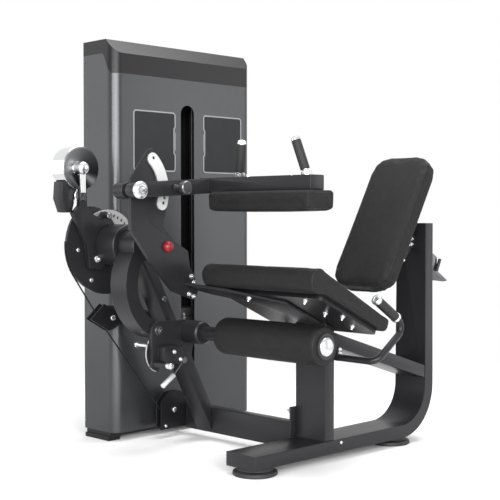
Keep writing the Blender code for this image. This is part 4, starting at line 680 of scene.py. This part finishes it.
X = (1, 0, 0)
fasten("cam_screws", "cam", chrome,
       screws=[((0.067, -0.2233, 0.7741), X, 0.0085), ((0.067, -0.1634, 0.6582), X, 0.0085)])
fasten("arm_bolts", "lever", chrome,
       bolts=[((0.0963, -0.128, 0.7784), X, 0.019, 0.008), ((0.0963, -0.1543, 0.739), X, 0.019, 0.008)])
fasten("bracket_bolts", "frame", chrome,
       bolts=[((0.424, y, z), X, 0.013, 0.006)
              for y, z in ((0.031, 0.678), (0.043, 0.655), (0.019, 0.614), (0.041, 0.604))])
fasten("post_bolts", "frame", dark_steel, screws=[((0.240, 0.052, 0.583), X, 0.011)])
fasten("axle_bolts", "frame", chrome,
       screws=[((0.078, -0.070, 0.508), X, 0.011), ((0.0785, 0.243, 0.112), X, 0.011),
               ((0.0785, 0.1984, 0.0511), X, 0.007)])
fasten("flange_bolts", "frame", zinc_plate,
       bolts=[((0.6887, y, 0.178), (-1, 0, 0), 0.017, 0.008) for y in (0.291, 0.367)])
fasten("runner_screws", "frame", zinc_plate, screws=[((0.847, 0.390, 0.068), X, 0.006)])
fasten("seat_bolts", "frame", zinc_plate,
       bolts=[((x, y, under_board(y, below)), SEAT_DOWN, 0.013, 0.008)
              for x, y, below in ((0.680, 0.080, 0.0103), (0.9375, 0.096, 0), (0.932, 0.206, 0), (0.9635, 0.315, 0),
                                  (0.995, 0.225, 0))])
fasten("pad_studs", "thigh_hold", zinc_plate,
       bolts=[((x, 0.085, 1.0435), (0, 0, 1), 0.013, 0.007) for x in (0.668, 0.881)])
fasten("clamp_screws", "roller_swing", zinc_plate,
       bolts=[((0.352, 0.0089, 0.3924), X, 0.011, 0.003), ((0.352, 0.040, 0.362), X, 0.011, 0.003)])
fasten("swing_bolt", "roller_swing", dark_steel, bolts=[((0.318, -0.0394, 0.4735), X, 0.024, 0.006)])
fasten("strip_screws", "frame", dark_steel,
       screws=[((-0.188, y, z), (0, n, 0), 0.005) for y, n in ((0.0, -1), (0.740, 1)) for z in (0.066, 0.80, 1.527)])
print("fasteners in place")

# %% [markdown]
# ## Trim
# The rest are thin pieces that sit on the solids: the two plain placards beside the slot, the
# tick scale on the stack, the second cheek of each outer pulley, the chrome rings of the seat
# handles, the brackets behind the backrest and the end ring of the roller.


# %% Placards and scale
def placard(name, low_y, high_y, notch_side):
    low_z, high_z, step = 1.085, 1.331, 0.006
    outline = rounded(((low_y + high_y) / 2, (low_z + high_z) / 2), high_y - low_y, high_z - low_z, 0.014, 5)
    edge = high_y if notch_side > 0 else low_y
    inner = edge - notch_side * step
    notch = [(edge, 1.155), (inner, 1.163), (inner, 1.262), (edge, 1.270)]
    split = 24 if notch_side > 0 else 12
    notch = notch if notch_side > 0 else notch[::-1]
    outline = outline[:split] + notch + outline[split:]
    face = bmesh.new()
    extruded(face, inset(outline, 0.0058), 0.0002, 0.0010)
    add(f"placard_{name}", face, placard_face, "frame")
    rim = bmesh.new()
    inside = inset(outline, 0.0055)
    levels = [(0.0002, outline), (0.0014, outline), (0.0014, inside), (0.0002, inside)]
    ring_stack(rim, [[spot(x, y, z) for y, z in points] for x, points in levels], looped=True)
    extruded(rim, [(edge - notch_side * 0.0028, 1.176), (edge, 1.176), (edge, 1.249), (edge - notch_side * 0.0028, 1.249)],
             0.0002, 0.0014)
    add(f"placard_rim_{name}", rim, placard_rim, "frame")


placard("near", 0.098, 0.322, 1)
placard("far", 0.477, 0.703, -1)
ticks = bmesh.new()
for k in range(9):
    z = 0.4365 + 0.0065 * k
    extruded(ticks, [(0.390, z), (0.390 + (0.011 if k % 2 else 0.007), z), (0.390 + (0.011 if k % 2 else 0.007), z + 0.0018),
                     (0.390, z + 0.0018)], -0.0298, -0.0290)
add("stack_scale", ticks, scale_white, "weight_carriage")
print("placards and scale in place")


# %% Pulley cheeks, handle rings and brackets
def cheek(name, outline, low, high):
    shape = bmesh.new()
    extruded(shape, outline, low, high, edge=0.0006)
    add(name, shape, black_coat_and_painted_shade, "frame")


low_cover = [(-0.173, 0.508), (-0.109, 0.564), (-0.065, 0.542), (-0.020, 0.520), (-0.020, 0.486), (-0.045, 0.482), (-0.085, 0.458)]
cheek("pulley_low_cheek", low_cover, 0.0435, 0.0485)
base_cover = [(0.175, 0.037), (0.322, 0.037), (0.322, 0.120), (0.313, 0.165), (0.273, 0.188), (0.213, 0.186), (0.175, 0.150)]
cheek("pulley_base_cheek", base_cover, 0.0455, 0.0490)


def grip_rings(label, x):
    end = spot(x, 0.366, 0.607)
    run = (spot(x, 0.535, 0.500) - end).normalized()
    shape = bmesh.new()
    spun(shape, [(0.0128, 0.0006), (0.0185, 0.0006), (0.0195, 0.0020), (0.0195, 0.0086), (0.0188, 0.0097), (0.0128, 0.0097)],
         end, run, 32, looped=True)
    spun(shape, [(0.0128, 0.1263), (0.0188, 0.1263), (0.0195, 0.1275), (0.0195, 0.1360), (0.0180, 0.1376), (0.0128, 0.1376)],
         end, run, 32, looped=True)
    spun(shape, [(0.0120, -0.0002), (0.0185, -0.0002), (0.0185, -0.0030), (0.0150, -0.0062), (0.0080, -0.0070), (0.0070, -0.0050)],
         end, run, 32)
    add(f"grip_rings_{label}", shape, chrome, "frame")


grip_rings("near", 0.514)
grip_rings("far", 1.030)
for label, side in (("near", -1), ("far", 1)):
    bracket = bmesh.new()
    plate = [(0.790, 0.706), (0.806, 0.706), (0.880, 0.776), (0.880, 0.826), (0.902, 0.900), (0.892, 0.912), (0.820, 0.776)]
    extruded(bracket, plate, 0.772 + side * 0.0255, 0.772 + side * 0.0305, edge=0.0006)
    add(f"back_bracket_{label}", bracket, black_coat_and_painted_shade, "backrest")
fasten("back_bolts", "backrest", chrome,
       bolts=[((0.8025, y, z), X, 0.013, 0.005) for y, z in ((0.866, 0.790), (0.866, 0.812), (0.812, 0.728))])
for label, x in (("near", 0.668), ("far", 0.8485)):
    tab = bmesh.new()
    extruded(tab, rounded((0.3668, 0.398), 0.022, 0.050, 0.006, 3), x, x + 0.012, edge=0.001)
    add(f"handle_tab_{label}", tab, frame_paint, "frame")
fasten("tab_bolts", "frame", zinc_plate, bolts=[((0.8605, 0.3668, z), X, 0.009, 0.002) for z in (0.402, 0.416)])

cap = bmesh.new()
spun(cap, [(0.0338, -0.0002), (0.0338, 0.0050), (0.0300, 0.0090), (0.0230, 0.0140), (0.0130, 0.0168), (0.0050, 0.0174)],
     spot(1.0205, 0.108, 0.461), X, 40)
add("roller_cap", cap, chrome, "roller_swing", 60)
cap = bmesh.new()
spun(cap, [(0.0312, -0.0002), (0.0318, 0.0060), (0.0300, 0.0090), (0.0260, 0.0122), (0.0200, 0.0146), (0.0140, 0.0160),
           (0.0132, 0.0157), (0.0100, 0.0166), (0.0060, 0.0171), (0.0015, 0.0173)], spot(0.4768, -0.256, 0.993), X, 40)
add("thigh_pivot_cap", cap, chrome, "thigh_hold", 60)
cap = bmesh.new()
spun(cap, [(0.0246, 0.0085), (0.0246, 0.0125), (0.0232, 0.0170), (0.0196, 0.0212), (0.0140, 0.0240), (0.0080, 0.0254),
           (0.0020, 0.0259)], spot(0.0963, -0.227, 1.082), X, 36)
add("drum_nut", cap, chrome, "lever", 60)
bar = bmesh.new()
extruded(bar, [(-0.2385, 1.062), (-0.2155, 1.062), (-0.2130, 0.990), (-0.2350, 0.990)], 0.1041, 0.1052, edge=0.0004)
add("drum_bar", bar, satin_plate, "lever")
handle = bmesh.new()
spun(handle, [(0.0050, 0.0), (0.0068, 0.0015), (0.0068, 0.0520), (0.0050, 0.0535)], spot(0.824, 1.0135, 0.678),
     Vector((0, 0.0239, 0.0485)), 20)
add("back_lever_grip", handle, end_plastic, "back_release")

catch_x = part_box("roller_catch_lever")[1].x - LAYOUT.x - 0.008
grip_run = Vector((0, -0.052, -0.035))
sleeve = bmesh.new()
spun(sleeve, [(0.0060, -0.0008), (0.0090, -0.0008), (0.0097, 0.0010), (0.0097, 0.0650), (0.0086, 0.0668), (0.0030, 0.0670)],
     spot(catch_x, 0.0265, 0.301), grip_run, 28)
add("catch_grip", sleeve, satin_plate, "roller_catch")
plunger = bmesh.new()
spun(plunger, [(0.0080, -0.0003), (0.0080, 0.0040), (0.0115, 0.0046), (0.0115, 0.0240), (0.0095, 0.0270), (0.0040, 0.0280)],
     spot(0.386, -0.056, 0.350), X, 28)
add("plunger_knob", plunger, chrome, "roller_swing")
pivot = bmesh.new()
spun(pivot, [(0.0075, 0.0), (0.0075, -0.086), (0.0135, -0.0862), (0.0135, -0.0940), (0.0110, -0.0965), (0.0040, -0.0975)],
     spot(0.290, -0.0424, 0.4122), X, 28)
add("quadrant_pin", pivot, chrome, "lever")


def edge_tube(shape, points, radius, sides=8):
    """A thin open tube along points, closed at both ends."""
    rings = []
    for i, point in enumerate(points):
        axis, side, other = square_to(points[min(i + 1, len(points) - 1)] - points[max(i - 1, 0)])
        turns = [2 * math.pi * k / sides for k in range(sides)]
        rings.append([point + (side * math.cos(t) + other * math.sin(t)) * radius for t in turns])
    ring_stack(shape, rings)


rim = bmesh.new()
edge_tube(rim, [spot(0.2965, -0.026 + (y + 0.026) * 0.8, z) for y, z in circle((-0.026, 0.389), 0.0705, 100, 262, 24)], 0.0024)
add("quadrant_rim", rim, grey_plate, "lever")
ring = bmesh.new()
spun(ring, [(0.0345, 0.0002), (0.0450, 0.0002), (0.0450, 0.0022), (0.0425, 0.0034), (0.0370, 0.0034), (0.0345, 0.0022)],
     spot(1.0202, 0.108, 0.461), X, 40, looped=True)
add("roller_end_ring", ring, end_plastic, "roller")
print("trim in place")

# %% [markdown]
# ## Floor and light
# A plain pale floor carries the shadow and fades out some metres away into a white background, so
# no horizon shows from any side. Wide soft lamps stand for the studio's light boxes.


# %% Floor and light
def make_floor(reach, fade):
    shape = bmesh.new()
    shape.faces.new([shape.verts.new((x * reach, y * reach, 0)) for x, y in ((-1, -1), (1, -1), (1, 1), (-1, 1))])
    mesh = bpy.data.meshes.new("floor")
    shape.to_mesh(mesh)
    shape.free()
    white = Finish("stage_white", Base_Color=(0.95, 0.95, 0.95, 1), Roughness=0.9)
    parts = [white.node("ShaderNodeSeparateXYZ", None, {"Vector": white.place}, axis) for axis in "XY"]
    away = (parts[0] ** 2 + parts[1] ** 2) ** 0.5
    white.vary(Alpha=((reach - away) / fade).within())
    mesh.materials.append(white.material)
    floor = bpy.data.objects.new("floor", mesh)
    bpy.context.scene.collection.objects.link(floor)


def make_world(view, light):
    """White to the camera, also in metal and glass, and a dimmer grey as a light on the machine."""
    world = bpy.data.worlds.new("studio")
    bpy.context.scene.world = world
    world.use_nodes = True
    tree = world.node_tree
    path = tree.nodes.new("ShaderNodeLightPath")
    camera_ray, glossy_ray, glass_ray = (Signal(tree, path.outputs[f"Is {kind} Ray"])
                                         for kind in ("Camera", "Glossy", "Transmission"))
    mix = tree.nodes.new("ShaderNodeMix")
    mix.data_type = "RGBA"
    mix.inputs[6].default_value = (light, light, light, 1)
    mix.inputs[7].default_value = (view, view, view, 1)
    feed(tree, mix.inputs["Factor"], (camera_ray + glossy_ray + glass_ray).within())
    tree.links.new(mix.outputs[2], tree.nodes["Background"].inputs["Color"])


def soft_lamp(name, place, target, size, watts):
    data = bpy.data.lights.new(name, "AREA")
    data.shape = "RECTANGLE"
    data.size, data.size_y = size
    data.energy = watts
    lamp = bpy.data.objects.new(name, data)
    bpy.context.scene.collection.objects.link(lamp)
    lamp.location = place
    lamp.rotation_euler = (Vector(target) - Vector(place)).to_track_quat("-Z", "Y").to_euler()


make_floor(2.9, 1.6)
make_world(1.0, 0.35)
soft_lamp("front_panel", (3.9, -3.8, 1.6), (-0.4, -0.35, 0.9), (3.0, 3.0), 300)
soft_lamp("front_right", (4.9, -1.8, 1.6), (-0.4, -0.35, 0.9), (2.0, 3.0), 130)
soft_lamp("front_left", (1.8, -5.4, 1.6), (-0.4, -0.35, 0.9), (2.0, 3.0), 150)
soft_lamp("left_wall", (-3.6, -3.4, 1.4), (-0.5, 0, 0.9), (3.0, 3.0), 38)
soft_lamp("right_wall", (3.4, 3.6, 1.4), (-0.3, 0.2, 0.9), (3.0, 3.0), 48)
soft_lamp("top_box", (0.2, 0.3, 4.2), (0, 0, 0), (3.0, 3.0), 200)
bpy.context.scene.view_settings.view_transform = "Standard"
print("stage lit")

# %% [markdown]
# ## Smooth solids
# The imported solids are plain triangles. Joining their corners and splitting them again at sharp
# edges lets the round ones shade smoothly, and their shapes stay as they are.

# %% Smooth solids
for node in nodes.values():
    node.data.shade_smooth()
    joined = node.modifiers.new("joined", "WELD")
    joined.merge_threshold = 0.00002
    edges = node.modifiers.new("edges", "EDGE_SPLIT")
    edges.split_angle = math.radians(32)
print("solids smoothed", len(nodes))

# %% [markdown]
# ## The end
# The view layer is brought up to date once more, so that every added
# piece stands where its body puts it.

# %% The end
bpy.context.view_layer.update()
